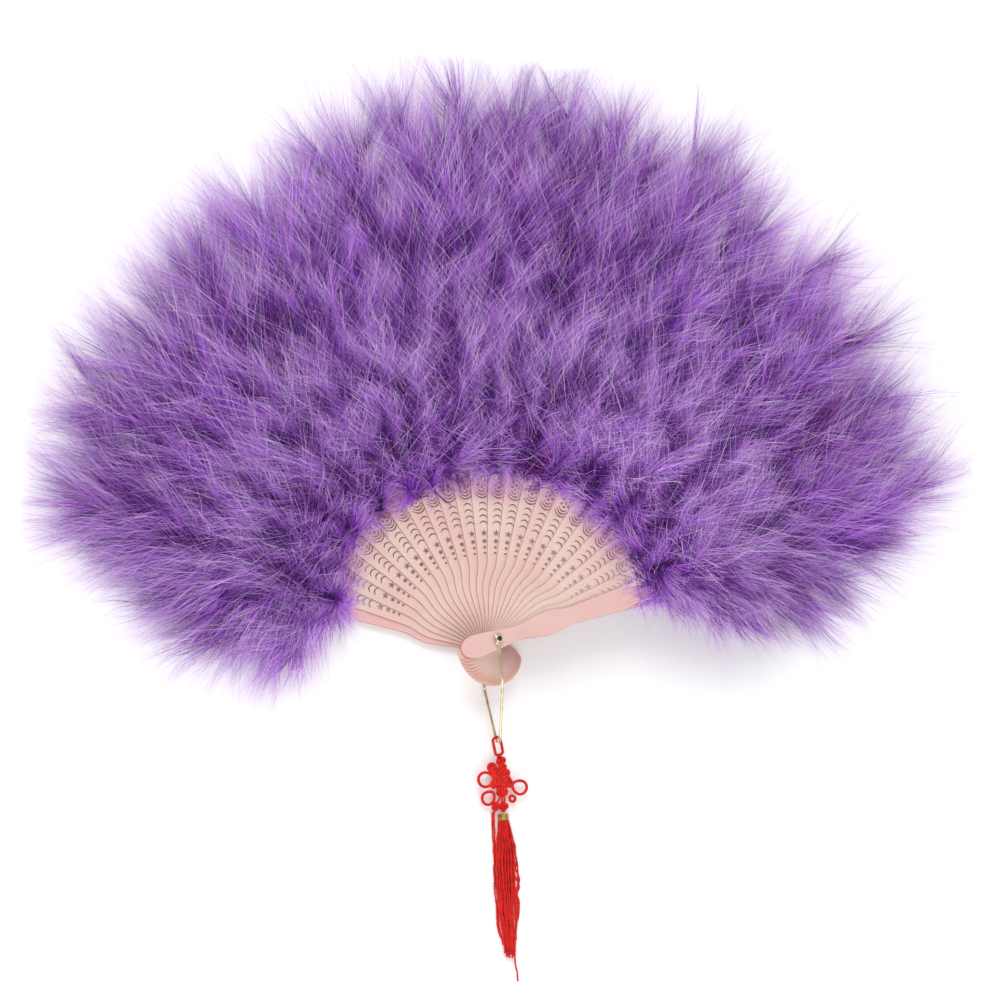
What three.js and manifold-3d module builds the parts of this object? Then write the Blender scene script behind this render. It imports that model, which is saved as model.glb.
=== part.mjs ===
// A folding feather fan lying on its back: two guards and a row of pierced plastic sticks turn on one rivet,
// each with a spray of feathers on its outer end, and a wire bail carries a knotted cord and a tassel.
// Lengths are in millimetres and angles in degrees. The rivet's axis is Z, with Z = 0 at its rear head,
// +Y runs up through the middle of the open fan and +Z faces the viewer.
import * as THREE from "three";
import { mergeVertices } from "three/addons/utils/BufferGeometryUtils.js";
import Module from "manifold-3d";

const wasm = await Module();
wasm.setup();

// The fan's spread, counter-clockwise from +X: rear guard, sticks in equal steps, front guard
const STICK_COUNT = 23;
const REAR_GUARD_ANGLE = 165.3;
const FIRST_STICK_ANGLE = 161.2;
const STICK_STEP_ANGLE = 6.19;
const FRONT_GUARD_ANGLE = 19.8;

// The stack on the rivet
const STICK_THICKNESS = 1.0;
const GUARD_THICKNESS = 1.8;
const STICK_GAP = 0.2;
const GUARD_GAP = 0.3;
const EYE_THICKNESS = 1.4;
const EYE_GAP = 0.3;

// The rivet
const RIVET_RADIUS = 1.2;
const RIVET_HEAD_RADIUS = 2.1;
const RIVET_HEAD_HEIGHT = 1.2;
const RIVET_SIDES = 16;
const RIVET_CLEARANCE = 0.3;
const HOLE_SIDES = 8;

// A stick: blade, tongue that the feathers are tied to, and tail behind the rivet
const BLADE_LENGTH = 98;
const BLADE_WIDTH = 13.2;
const TONGUE_LENGTH = 14;
const TONGUE_WIDTH = 4.4;
const TAIL_LENGTH = 22.4;
const TAIL_WIDTH = 10.4;

// A guard: wider than a stick, with the same waist and shoulders
const GUARD_WIDTH = 15;
const GUARD_TAIL_LENGTH = 20.8;
const GUARD_TAIL_WIDTH = 12;
const GUARD_RIB_START = 85;
const GUARD_RIB_DEPTH = 0.5;

// [share of the length, share of half the width] along one edge, from the rivet outwards
const BLADE_EDGE_SHARES = [
  [0.0, 0.66], [0.12, 0.5], [0.21, 0.68], [0.29, 0.84], [0.35, 0.8], [0.42, 0.62], [0.5, 0.64], [1.0, 1.0],
];
// The same from the rivet to the tip of the tail
const TAIL_EDGE_SHARES = [
  [0.4, 0.97], [0.66, 1.0], [0.9, 0.66],
];

// The pierced pattern, by its distances from the rivet as shares of the blade's length
const DOT_RADIUS = 1.1;
const DOT_SHARES = [
  { at: 0.495, radius: 0.6 }, { at: 0.526, radius: 0.73 }, { at: 0.56, radius: 1.0 },
];
const DOT_SIDES = 4;
const STAR_AT_SHARE = 0.605;
const STAR_RADIUS = 2.0;
const STAR_INNER_SHARE = 0.42;
const STAR_POINTS = 5;
const CRESCENT_COUNT = 4;
const CRESCENT_FIRST_SHARE = 0.647;
const CRESCENT_STEP_SHARE = 0.0347;
const CRESCENT_RADIUS = 2.2;
const CRESCENT_SWEEP_ANGLE = 130;
const SLIT_WIDTH = 0.65;
const MEDALLION_AT_SHARE = 0.857;
const MEDALLION_RADIUS = 4.7;
const MEDALLION_RING_SHARES = [0.66, 1.0];
const MEDALLION_SWEEP_ANGLE = 96;
const MEDALLION_HEART_RADIUS = 1.3;
const MEDALLION_HEART_SIDES = 4;
const SLIT_STEPS = 2;

// A spray of feathers: how far it reaches from the rivet where the fan is fullest, and at its rear side
const SPRAY_REACH_MIDDLE = 322;
const SPRAY_REACH_SIDE = 240;
const SPRAY_MIDDLE_ANGLE = 66;
const SPRAY_SIDE_ANGLE = 95;
const SPRAY_HALF_WIDTH = 33;
const FRONT_LOBE_WIDTH = 38;
const REAR_LOBE_WIDTH = 54;
const SPRAY_THICKNESS = 0.8;
const SPRAY_SEAT_CLEARANCE = 0.3;
// [share of the spray's length, share of its width on that side] along one edge, from the root to the tip
const SPRAY_EDGE_SHARES = [
  [0.0, 0.3], [0.08, 0.5], [0.2, 0.74], [0.36, 0.92], [0.55, 1.0], [0.72, 0.95], [0.88, 0.7], [1.0, 0.34],
];
const FRONT_LOBE_SHARES = [
  [0.0, 0.5], [0.06, 0.86], [0.25, 0.94], [0.6, 1.0], [0.86, 0.74], [1.0, 0.34],
];
const REAR_LOBE_SHARES = [
  [0.0, 0.5], [0.05, 0.97], [0.12, 0.92], [0.2, 0.78], [0.5, 0.66], [0.85, 0.42], [1.0, 0.2],
];

// Past the sticks the sprays droop onto the table, together, so that they keep their order
const DROOP_END = 205;
const DROOP_STEPS = 4;
const DROOP_SPREAD_ANGLE = 13;
const TABLE_CLEARANCE = 0.5;
// Shares of a spray's length past the droop at which it has a cross rib
const TIP_RIB_SHARES = [0.4, 0.75, 1.0];

// The wire bail, from its eyes on the rivet to the bend that the cord hangs on
const WIRE_RADIUS = 0.8;
const WIRE_SIDES = 8;
const WIRE_STEPS = 44;
const BAIL_TURN_ANGLE = 5.4;
const BAIL_LENGTH = 52.6;
const BAIL_TAIL_CLEARANCE = 1.4;
const BAIL_BEND_RADIUS = 4.6;
const EYE_RADIUS = 2.5;
const EYE_LENGTH_SHARE = 1.3;
const EYE_SIDES = 16;

// The red cord and what it carries
const CORD_RADIUS = 0.85;
const CORD_SIDES = 8;
const CORD_GAP = 0.3;
const LOOP_LENGTH = 13.8;
const LOOP_WIDTH = 5.8;
const LOOP_DROP_ANGLE = 42;
const LOOP_LEAN_ANGLE = 16;
const LOOP_STEPS = 24;
const BUTTON_RADIUS = 3.1;
const KNOT_LENGTH = 16;
const KNOT_WIDTH = 13;
const KNOT_THICKNESS = 4.6;
const KNOT_EDGE_SHARE = 0.6;
const EAR_STEPS = 14;
const EAR_SIDES = 6;
// Radius of the largest ear along the middle of its cord
const EAR_RADIUS = 3.9;
// Each ear's centre as shares of half the knot's width and of its length, and the share of that radius it has
const EAR_SHARES = [
  { across: -1.35, along: 0.34, radius: 1.0 },
  { across: -1.25, along: 0.8, radius: 0.95 },
  { across: 1.55, along: 0.56, radius: 0.97 },
  { across: -0.62, along: 0.02, radius: 0.59 },
  { across: 0.95, along: 0.92, radius: 0.49 },
];
const COLLAR_RADIUS = 3.2;
const COLLAR_LENGTH = 4.2;
const COLLAR_SIDES = 14;
const STEM_RADIUS = 1.5;
const STEM_LENGTH = 8.4;
// The knot's and the tassel's own turns from the line of the bail
const KNOT_TURN_ANGLE = -0.6;
const TASSEL_TURN_ANGLE = -2.2;
const TASSEL_LENGTH = 71;
const TASSEL_WIDTH = 12.6;
const TASSEL_THICKNESS = 6.4;
const TASSEL_GROOVES = 10;
const TASSEL_GROOVE_SHARE = 0.12;
// [share of the tassel's length, share of its width] from its collar to its ends
const TASSEL_SHARES = [
  [0.0, 0.42], [0.08, 0.62], [0.25, 0.86], [0.45, 1.0], [0.7, 0.9], [0.9, 0.72], [1.0, 0.62],
];

// Levels in the stack, from the rear head upwards
const REAR_EYE_Z = RIVET_HEAD_HEIGHT + EYE_GAP;
const REAR_GUARD_Z = REAR_EYE_Z + EYE_THICKNESS + EYE_GAP;
const FIRST_STICK_Z = REAR_GUARD_Z + GUARD_THICKNESS + GUARD_GAP;
const STICK_PITCH = STICK_THICKNESS + STICK_GAP;
const STICKS_TOP_Z = FIRST_STICK_Z + STICK_COUNT * STICK_PITCH - STICK_GAP;
const FRONT_GUARD_Z = STICKS_TOP_Z + GUARD_GAP;
const FRONT_EYE_Z = FRONT_GUARD_Z + GUARD_THICKNESS + EYE_GAP;
const FRONT_HEAD_Z = FRONT_EYE_Z + EYE_THICKNESS + EYE_GAP;
const BAIL_MIDDLE_Z = (REAR_EYE_Z + FRONT_EYE_Z + EYE_THICKNESS) / 2;

// Where the sprays' forks end, and the two shapes of their sides
const SPRAY_FORK_END = BLADE_LENGTH + TONGUE_LENGTH + SPRAY_SEAT_CLEARANCE;
const SPRAY_SIDE = { width: SPRAY_HALF_WIDTH, shares: SPRAY_EDGE_SHARES };
const FRONT_LOBE = { width: FRONT_LOBE_WIDTH, shares: FRONT_LOBE_SHARES };
const REAR_LOBE = { width: REAR_LOBE_WIDTH, shares: REAR_LOBE_SHARES };

const radians = THREE.MathUtils.degToRad;

const PINK_PLASTIC = { color: 0xe9c3bb, roughness: 0.45, metalness: 0 };
const FEATHER = { color: 0x8a55b8, roughness: 0.9, metalness: 0 };
const GOLD_WIRE = { color: 0xb9a878, roughness: 0.3, metalness: 1 };
const RED_CORD = { color: 0xd0201c, roughness: 0.7, metalness: 0 };
const GOLD_THREAD = { color: 0xc8a040, roughness: 0.5, metalness: 0.6 };

// A geometry as a solid that can be joined and cut
function solidOf(geometry) {
  const bare = geometry.clone();
  bare.deleteAttribute("normal");
  bare.deleteAttribute("uv");
  const merged = mergeVertices(bare, 1e-4);
  return new wasm.Manifold(
    new wasm.Mesh({
      numProp: 3,
      vertProperties: merged.attributes.position.array,
      triVerts: new Uint32Array(merged.index.array),
    }),
  );
}

function geometryOf(solid) {
  const mesh = solid.getMesh();
  const geometry = new THREE.BufferGeometry();
  geometry.setAttribute("position", new THREE.BufferAttribute(mesh.vertProperties, 3));
  geometry.setIndex(new THREE.BufferAttribute(mesh.triVerts, 1));
  return geometry;
}

function joined(geometries) {
  return geometryOf(geometries.map(solidOf).reduce((whole, next) => whole.add(next)));
}

function named(name, geometry, look) {
  const mesh = new THREE.Mesh(geometry, new THREE.MeshStandardMaterial(look));
  mesh.name = name;
  return mesh;
}

function plate(outline, holes, thickness) {
  const shape = new THREE.Shape(outline);
  shape.holes = holes.map((points) => new THREE.Path(points));
  return new THREE.ExtrudeGeometry(shape, { depth: thickness, bevelEnabled: false });
}

// A regular polygon round (0, at), whose first corner points along the stick
function ring(at, radius, sides, innerRadius = radius) {
  const points = [];
  for (let i = 0; i < sides; i += 1) {
    const angle = radians(90 + (360 * i) / sides);
    const reach = i % 2 ? innerRadius : radius;
    points.push(new THREE.Vector2(reach * Math.cos(angle), at + reach * Math.sin(angle)));
  }
  return points;
}

// A curved slit of even width round (0, at), centred on the angle facing
function slit(at, radius, sweep, facing) {
  const side = (reach, turn) => {
    const points = [];
    for (let i = 0; i <= SLIT_STEPS; i += 1) {
      const angle = radians(facing + turn * sweep * (i / SLIT_STEPS - 1 / 2));
      points.push(new THREE.Vector2(reach * Math.cos(angle), at + reach * Math.sin(angle)));
    }
    return points;
  };
  return [...side(radius + SLIT_WIDTH / 2, 1), ...side(radius - SLIT_WIDTH / 2, -1)];
}

function pivotHole() {
  return ring(0, RIVET_RADIUS + RIVET_CLEARANCE, HOLE_SIDES);
}

// The pierced pattern of one stick
function piercing() {
  const dots = DOT_SHARES.map(({ at, radius }) => ring(BLADE_LENGTH * at, DOT_RADIUS * radius, DOT_SIDES));
  const starInner = STAR_RADIUS * STAR_INNER_SHARE;
  const star = ring(BLADE_LENGTH * STAR_AT_SHARE, STAR_RADIUS, 2 * STAR_POINTS, starInner);
  const crescents = [];
  for (let i = 0; i < CRESCENT_COUNT; i += 1) {
    const at = BLADE_LENGTH * (CRESCENT_FIRST_SHARE + i * CRESCENT_STEP_SHARE);
    crescents.push(slit(at, CRESCENT_RADIUS, CRESCENT_SWEEP_ANGLE, 90));
  }
  const middle = BLADE_LENGTH * MEDALLION_AT_SHARE;
  const medallion = MEDALLION_RING_SHARES.flatMap((share) => [
    slit(middle, MEDALLION_RADIUS * share, MEDALLION_SWEEP_ANGLE, -90),
    slit(middle, MEDALLION_RADIUS * share, MEDALLION_SWEEP_ANGLE, 90),
  ]);
  const heart = ring(middle, MEDALLION_HEART_RADIUS, MEDALLION_HEART_SIDES);
  return [...dots, star, ...crescents, ...medallion, heart];
}

// A stick's outline, counter-clockwise from the tongue's right corner
function bladeOutline(width, tailLength, tailWidth) {
  const right = BLADE_EDGE_SHARES.map(([along, across]) => [BLADE_LENGTH * along, (width / 2) * across]);
  const tail = TAIL_EDGE_SHARES.map(([along, across]) => [-tailLength * along, (tailWidth / 2) * across]);
  const tongue = [[BLADE_LENGTH, TONGUE_WIDTH / 2], [BLADE_LENGTH + TONGUE_LENGTH, TONGUE_WIDTH / 2]];
  const edge = [...tail.slice().reverse(), ...right, ...tongue];
  const rightSide = edge.map(([along, across]) => new THREE.Vector2(across, along));
  const leftSide = edge.map(([along, across]) => new THREE.Vector2(-across, along)).reverse();
  return [new THREE.Vector2(0, -tailLength), ...rightSide, ...leftSide];
}

function stickGeometry() {
  const outline = bladeOutline(BLADE_WIDTH, TAIL_LENGTH, TAIL_WIDTH);
  return plate(outline, [pivotHole(), ...piercing()], STICK_THICKNESS);
}

// A guard is solid, with a shallow step across its front where the feathers begin
function guardGeometry(ribFacesUp) {
  const outline = bladeOutline(GUARD_WIDTH, GUARD_TAIL_LENGTH, GUARD_TAIL_WIDTH);
  const body = solidOf(plate(outline, [pivotHole()], GUARD_THICKNESS));
  const stepLength = BLADE_LENGTH + TONGUE_LENGTH;
  const step = new THREE.BoxGeometry(2 * GUARD_WIDTH, stepLength, 2 * GUARD_RIB_DEPTH);
  step.translate(0, GUARD_RIB_START + stepLength / 2, ribFacesUp ? GUARD_THICKNESS : 0);
  return geometryOf(body.subtract(solidOf(step)));
}

// How far a spray reaches at an angle of the open fan, less and less on either side of the fullest place
function sprayReach(angle) {
  const away = Math.abs(angle - SPRAY_MIDDLE_ANGLE) / SPRAY_SIDE_ANGLE;
  return SPRAY_REACH_MIDDLE - (SPRAY_REACH_MIDDLE - SPRAY_REACH_SIDE) * away ** 1.4;
}

// How far the sprays droop below their level, at a distance from the rivet and an angle of the open fan
function droop(distance, angle) {
  const past = THREE.MathUtils.smoothstep(distance, SPRAY_FORK_END, DROOP_END);
  const lowest = FIRST_STICK_ANGLE - DROOP_SPREAD_ANGLE - angle;
  const level = FIRST_STICK_Z + (lowest / STICK_STEP_ANGLE) * STICK_PITCH;
  return past * Math.max(0, level - TABLE_CLEARANCE);
}

// The share in a table of [along, share] pairs at a place along it
function shareAt(table, along) {
  const next = table.findIndex(([place], i) => i === table.length - 1 || (i > 0 && place >= along));
  const [[from, low], [to, high]] = [table[next - 1], table[next]];
  return THREE.MathUtils.mapLinear(along, from, to, low, high);
}

// A sheet of even thickness over a grid of points, with a wall round each cell that has no neighbour
function sheet(grid, thickness, isFilled) {
  const [rows, columns] = [grid.length, grid[0].length];
  const positions = [thickness, 0].flatMap((rise) => grid.flat().flatMap(({ x, y, z }) => [x, y, z + rise]));
  const index = [];
  const at = (row, column, isUnder) => (isUnder ? rows * columns : 0) + row * columns + column;
  const filled = (row, column) => (
    row >= 0 && column >= 0 && row < rows - 1 && column < columns - 1 && isFilled(row, column)
  );
  const quad = (a, b, c, d) => index.push(a, b, c, a, c, d);
  const wall = (from, to) => quad(at(...to, false), at(...from, false), at(...from, true), at(...to, true));
  for (let row = 0; row < rows - 1; row += 1) {
    for (let column = 0; column < columns - 1; column += 1) {
      if (!filled(row, column)) continue;
      const corners = [[row, column], [row, column + 1], [row + 1, column + 1], [row + 1, column]];
      quad(...corners.map((corner) => at(...corner, false)));
      const [a, b, c, d] = corners.map((corner) => at(...corner, true));
      index.push(a, c, b, a, d, c);
      if (!filled(row - 1, column)) wall(corners[0], corners[1]);
      if (!filled(row, column + 1)) wall(corners[1], corners[2]);
      if (!filled(row + 1, column)) wall(corners[2], corners[3]);
      if (!filled(row, column - 1)) wall(corners[3], corners[0]);
    }
  }
  const geometry = new THREE.BufferGeometry();
  geometry.setAttribute("position", new THREE.Float32BufferAttribute(positions, 3));
  geometry.setIndex(index);
  return geometryOf(solidOf(geometry));
}

// A spray of feathers as one thin leaf, forked round the tongue and drooping past it
function sprayGeometry(angle, left = SPRAY_SIDE, right = SPRAY_SIDE) {
  const root = BLADE_LENGTH + SPRAY_SEAT_CLEARANCE;
  const reach = sprayReach(angle);
  const droopRibs = Array.from({ length: DROOP_STEPS }, (_, i) => (i + 1) / DROOP_STEPS).map((share) => (
    THREE.MathUtils.lerp(SPRAY_FORK_END, DROOP_END, share)
  ));
  const tipRibs = TIP_RIB_SHARES.map((share) => THREE.MathUtils.lerp(DROOP_END, reach, share));
  const forkHalf = TONGUE_WIDTH / 2 + SPRAY_SEAT_CLEARANCE;
  const grid = [root, SPRAY_FORK_END, ...droopRibs, ...tipRibs].map((distance) => {
    const along = (distance - root) / (reach - root);
    const edges = [
      -left.width * shareAt(left.shares, along),
      -forkHalf,
      forkHalf,
      right.width * shareAt(right.shares, along),
    ];
    return edges.map((across) => {
      const turn = across / distance;
      const fall = droop(distance, angle - THREE.MathUtils.radToDeg(turn));
      if (fall === 0) return new THREE.Vector3(across, distance, 0);
      return new THREE.Vector3(distance * Math.sin(turn), distance * Math.cos(turn), -fall);
    });
  });
  return sheet(grid, SPRAY_THICKNESS, (row, column) => row > 0 || column !== 1);
}

// A blade and its spray, turned to their angle and set at their level in the stack
function armGroup(blade, thickness, spray, angle, level) {
  const group = new THREE.Group();
  group.rotation.z = radians(angle - 90);
  group.position.z = level;
  spray.position.z = (thickness - SPRAY_THICKNESS) / 2;
  group.add(blade, spray);
  return group;
}

function guardArms() {
  const rearSpray = sprayGeometry(REAR_GUARD_ANGLE, REAR_LOBE, SPRAY_SIDE);
  const frontSpray = sprayGeometry(FRONT_GUARD_ANGLE, SPRAY_SIDE, FRONT_LOBE);
  return [
    armGroup(
      named("rear_guard", guardGeometry(false), PINK_PLASTIC), GUARD_THICKNESS,
      named("rear_guard_feathers", rearSpray, FEATHER), REAR_GUARD_ANGLE, REAR_GUARD_Z,
    ),
    armGroup(
      named("front_guard", guardGeometry(true), PINK_PLASTIC), GUARD_THICKNESS,
      named("front_guard_feathers", frontSpray, FEATHER), FRONT_GUARD_ANGLE, FRONT_GUARD_Z,
    ),
  ];
}

function stickArms() {
  const blade = stickGeometry();
  return Array.from({ length: STICK_COUNT }, (_, i) => {
    const number = String(i + 1).padStart(2, "0");
    const angle = FIRST_STICK_ANGLE - i * STICK_STEP_ANGLE;
    return armGroup(
      named("stick_" + number, blade, PINK_PLASTIC), STICK_THICKNESS,
      named("feathers_" + number, sprayGeometry(angle), FEATHER), angle, FIRST_STICK_Z + i * STICK_PITCH,
    );
  });
}

// The rivet: a pin through the whole stack with a flat head at each end
function rivet() {
  const top = FRONT_HEAD_Z + RIVET_HEAD_HEIGHT;
  const profile = [
    [0, 0], [RIVET_HEAD_RADIUS, 0], [RIVET_HEAD_RADIUS, RIVET_HEAD_HEIGHT], [RIVET_RADIUS, RIVET_HEAD_HEIGHT],
    [RIVET_RADIUS, FRONT_HEAD_Z], [RIVET_HEAD_RADIUS, FRONT_HEAD_Z], [RIVET_HEAD_RADIUS, top], [0, top],
  ];
  const geometry = new THREE.LatheGeometry(profile.map(([x, y]) => new THREE.Vector2(x, y)), RIVET_SIDES);
  geometry.rotateX(Math.PI / 2);
  return named("rivet", geometry, GOLD_WIRE);
}

function tube(path, radius, sides, steps) {
  const section = new THREE.Shape(ring(0, radius, sides));
  return new THREE.ExtrudeGeometry(section, { extrudePath: path, steps, bevelEnabled: false });
}

// One flattened eye of the bail, a long ring round the rivet
function bailEye(level) {
  const round = ring(0, EYE_RADIUS, EYE_SIDES);
  const outline = round.map(({ x, y }) => new THREE.Vector2(x, y * EYE_LENGTH_SHARE));
  const eye = plate(outline, [pivotHole()], EYE_THICKNESS);
  eye.translate(0, 0, level);
  return eye;
}

// The bail lies in the plane X = 0, and these are the middles of its wire at its legs and round its bend
const REAR_LEG_Z = REAR_EYE_Z + EYE_THICKNESS / 2;
const FRONT_LEG_Z = FRONT_EYE_Z + EYE_THICKNESS / 2;
const LEG_START_Y = -(RIVET_RADIUS + RIVET_CLEARANCE + WIRE_RADIUS);
const LEG_TURN_Y = -(Math.max(TAIL_LENGTH, GUARD_TAIL_LENGTH) + BAIL_TAIL_CLEARANCE);
const BEND_MIDDLE_Y = -(BAIL_LENGTH - BAIL_BEND_RADIUS - WIRE_RADIUS);

// The round bend, from where one leg meets it squarely to where the other does
class Bend extends THREE.Curve {
  constructor() {
    super();
    const run = LEG_TURN_Y - BEND_MIDDLE_Y;
    const rise = (FRONT_LEG_Z - REAR_LEG_Z) / 2;
    this.from = Math.atan2(rise, run) + Math.acos(BAIL_BEND_RADIUS / Math.hypot(run, rise));
  }

  getPoint(share, target = new THREE.Vector3()) {
    const angle = THREE.MathUtils.lerp(this.from, 2 * Math.PI - this.from, share);
    const [y, z] = [BAIL_BEND_RADIUS * Math.cos(angle), BAIL_BEND_RADIUS * Math.sin(angle)];
    return target.set(0, BEND_MIDDLE_Y + y, BAIL_MIDDLE_Z + z);
  }
}

// The bail: a leg from each eye, straight past the tails, then in to the bend
function bail() {
  const bend = new Bend();
  const corners = [
    new THREE.Vector3(0, LEG_START_Y, FRONT_LEG_Z),
    new THREE.Vector3(0, LEG_TURN_Y, FRONT_LEG_Z),
    bend.getPoint(0),
    bend.getPoint(1),
    new THREE.Vector3(0, LEG_TURN_Y, REAR_LEG_Z),
    new THREE.Vector3(0, LEG_START_Y, REAR_LEG_Z),
  ];
  const path = new THREE.CurvePath();
  path.add(new THREE.LineCurve3(corners[0], corners[1]));
  path.add(new THREE.LineCurve3(corners[1], corners[2]));
  path.add(bend);
  path.add(new THREE.LineCurve3(corners[3], corners[4]));
  path.add(new THREE.LineCurve3(corners[4], corners[5]));
  const wire = tube(path, WIRE_RADIUS, WIRE_SIDES, WIRE_STEPS);
  return named("bail", joined([wire, bailEye(REAR_EYE_Z), bailEye(FRONT_EYE_Z)]), GOLD_WIRE);
}

// Moves the origin to the middle of the bail's bend, and drops the -Y axis so that it leaves the wire squarely
function bendMatrix() {
  const matrix = new THREE.Matrix4().makeRotationX(radians(LOOP_DROP_ANGLE));
  return matrix.setPosition(0, BEND_MIDDLE_Y, BAIL_MIDDLE_Z);
}

// Where the loop's two round ends are centred, measured from the middle of the bend
const LOOP_HALF_WIDTH = LOOP_WIDTH / 2 - CORD_RADIUS;
const LOOP_TOP_Y = -BAIL_BEND_RADIUS + WIRE_RADIUS + CORD_GAP + CORD_RADIUS - LOOP_HALF_WIDTH;
const LOOP_FOOT_Y = LOOP_TOP_Y - (LOOP_LENGTH - LOOP_WIDTH);

// The red loop round the bail's bend, leaning to one side about the wire
function cordLoop() {
  const points = [];
  for (let i = 0; i < LOOP_STEPS; i += 1) {
    const angle = (2 * Math.PI * (i + 1 / 2)) / LOOP_STEPS;
    const y = Math.sin(angle) > 0 ? LOOP_TOP_Y : LOOP_FOOT_Y;
    const x = LOOP_HALF_WIDTH * Math.cos(angle);
    points.push(new THREE.Vector3(x, y + LOOP_HALF_WIDTH * Math.sin(angle), 0));
  }
  const path = new THREE.CatmullRomCurve3(points, true);
  const geometry = closedTube(path, ring(0, CORD_RADIUS, CORD_SIDES), LOOP_STEPS);
  geometry.translate(0, BAIL_BEND_RADIUS, 0);
  geometry.rotateZ(radians(LOOP_LEAN_ANGLE));
  geometry.translate(0, -BAIL_BEND_RADIUS, 0);
  geometry.applyMatrix4(bendMatrix());
  return named("cord_loop", geometry, RED_CORD);
}

// A tube round a closed flat path, as rings of points joined end to end
function closedTube(path, section, steps) {
  const positions = [];
  const index = [];
  const up = new THREE.Vector3(0, 0, 1);
  for (let i = 0; i < steps; i += 1) {
    const centre = path.getPointAt(i / steps);
    const outward = new THREE.Vector3().crossVectors(path.getTangentAt(i / steps), up).normalize();
    section.forEach(({ x, y }) => {
      const corner = centre.clone().addScaledVector(outward, x).addScaledVector(up, y);
      positions.push(corner.x, corner.y, corner.z);
    });
  }
  const sides = section.length;
  for (let i = 0; i < steps; i += 1) {
    for (let j = 0; j < sides; j += 1) {
      const [a, b] = [i * sides + j, i * sides + ((j + 1) % sides)];
      const [c, d] = [((i + 1) % steps) * sides + j, ((i + 1) % steps) * sides + ((j + 1) % sides)];
      index.push(a, d, b, a, c, d);
    }
  }
  const geometry = new THREE.BufferGeometry();
  geometry.setAttribute("position", new THREE.Float32BufferAttribute(positions, 3));
  geometry.setIndex(index);
  return geometry;
}

// The round end of the knot's stem, that the tassel swings about, measured from the button's middle
const STEM_BALL_Y = -(BUTTON_RADIUS + KNOT_LENGTH + STEM_LENGTH - 2 * CORD_RADIUS);

// The woven body of the knot, an eight-sided pad with chamfered corners
function knotBody() {
  const [w, l] = [KNOT_WIDTH / 2, KNOT_LENGTH];
  const [cw, cl] = [w * KNOT_EDGE_SHARE, (l / 2) * (1 - KNOT_EDGE_SHARE)];
  const corners = [[cw, 0], [w, -cl], [w, cl - l], [cw, -l], [-cw, -l], [-w, cl - l], [-w, -cl], [-cw, 0]];
  const pad = plate(corners.map(([x, y]) => new THREE.Vector2(x, y)).reverse(), [], KNOT_THICKNESS);
  pad.translate(0, 0, -KNOT_THICKNESS / 2);
  return pad;
}

function ear({ across, along, radius }) {
  const geometry = new THREE.TorusGeometry(EAR_RADIUS * radius, CORD_RADIUS, EAR_SIDES, EAR_STEPS);
  geometry.translate((KNOT_WIDTH / 2) * across, -KNOT_LENGTH * along, 0);
  return geometry;
}

// The button knot, the woven knot with its ears and the short stem that the tassel hangs on, as one cord
function charmKnot() {
  const button = new THREE.IcosahedronGeometry(BUTTON_RADIUS, 1);
  const neck = BUTTON_RADIUS - CORD_RADIUS;
  const pieces = [knotBody(), ...EAR_SHARES.map(ear)];
  pieces.forEach((piece) => piece.translate(0, -neck, 0));
  const stem = new THREE.CylinderGeometry(STEM_RADIUS, STEM_RADIUS, STEM_LENGTH, CORD_SIDES);
  stem.translate(0, STEM_BALL_Y + STEM_LENGTH / 2, 0);
  const ball = new THREE.IcosahedronGeometry(STEM_RADIUS, 1);
  ball.translate(0, STEM_BALL_Y, 0);
  return named("charm_knot", joined([button, ...pieces, stem, ball]), RED_CORD);
}

// The thread bound round the head of the tassel
function collar() {
  const geometry = new THREE.CylinderGeometry(COLLAR_RADIUS, COLLAR_RADIUS, COLLAR_LENGTH, COLLAR_SIDES);
  geometry.translate(0, -STEM_RADIUS - CORD_GAP - COLLAR_LENGTH / 2, 0);
  return named("tassel_collar", geometry, GOLD_THREAD);
}

// The hanging threads as one flattened, grooved bundle
function tasselThreads() {
  const sides = 2 * TASSEL_GROOVES;
  const positions = [];
  const index = [];
  TASSEL_SHARES.forEach(([along, across]) => {
    for (let j = 0; j < sides; j += 1) {
      const angle = (2 * Math.PI * j) / sides;
      const reach = across * (j % 2 ? 1 - TASSEL_GROOVE_SHARE : 1);
      const x = (TASSEL_WIDTH / 2) * reach * Math.cos(angle);
      const z = (TASSEL_THICKNESS / 2) * reach * Math.sin(angle);
      positions.push(x, -TASSEL_LENGTH * along, z);
    }
  });
  const rings = TASSEL_SHARES.length;
  for (let i = 0; i < rings - 1; i += 1) {
    for (let j = 0; j < sides; j += 1) {
      const [a, b] = [i * sides + j, i * sides + ((j + 1) % sides)];
      index.push(a, b, b + sides, a, b + sides, a + sides);
    }
  }
  const [head, foot] = [rings * sides, rings * sides + 1];
  positions.push(0, 0, 0, 0, -TASSEL_LENGTH, 0);
  for (let j = 0; j < sides; j += 1) {
    const [a, b] = [j, (j + 1) % sides];
    const last = (rings - 1) * sides;
    index.push(head, b, a, foot, last + a, last + b);
  }
  const geometry = new THREE.BufferGeometry();
  geometry.setAttribute("position", new THREE.Float32BufferAttribute(positions, 3));
  geometry.setIndex(index);
  geometry.translate(0, -STEM_RADIUS - 2 * CORD_GAP - COLLAR_LENGTH, 0);
  return named("tassel_threads", geometry, RED_CORD);
}

// Where the button knot's middle lies: just past the low end of the loop
function buttonPlace() {
  const reach = -LOOP_FOOT_Y + LOOP_WIDTH / 2 + CORD_GAP + BUTTON_RADIUS - BAIL_BEND_RADIUS;
  const lean = radians(LOOP_LEAN_ANGLE);
  const place = new THREE.Vector3(reach * Math.sin(lean), -BAIL_BEND_RADIUS - reach * Math.cos(lean), 0);
  return place.applyMatrix4(bendMatrix());
}

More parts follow.
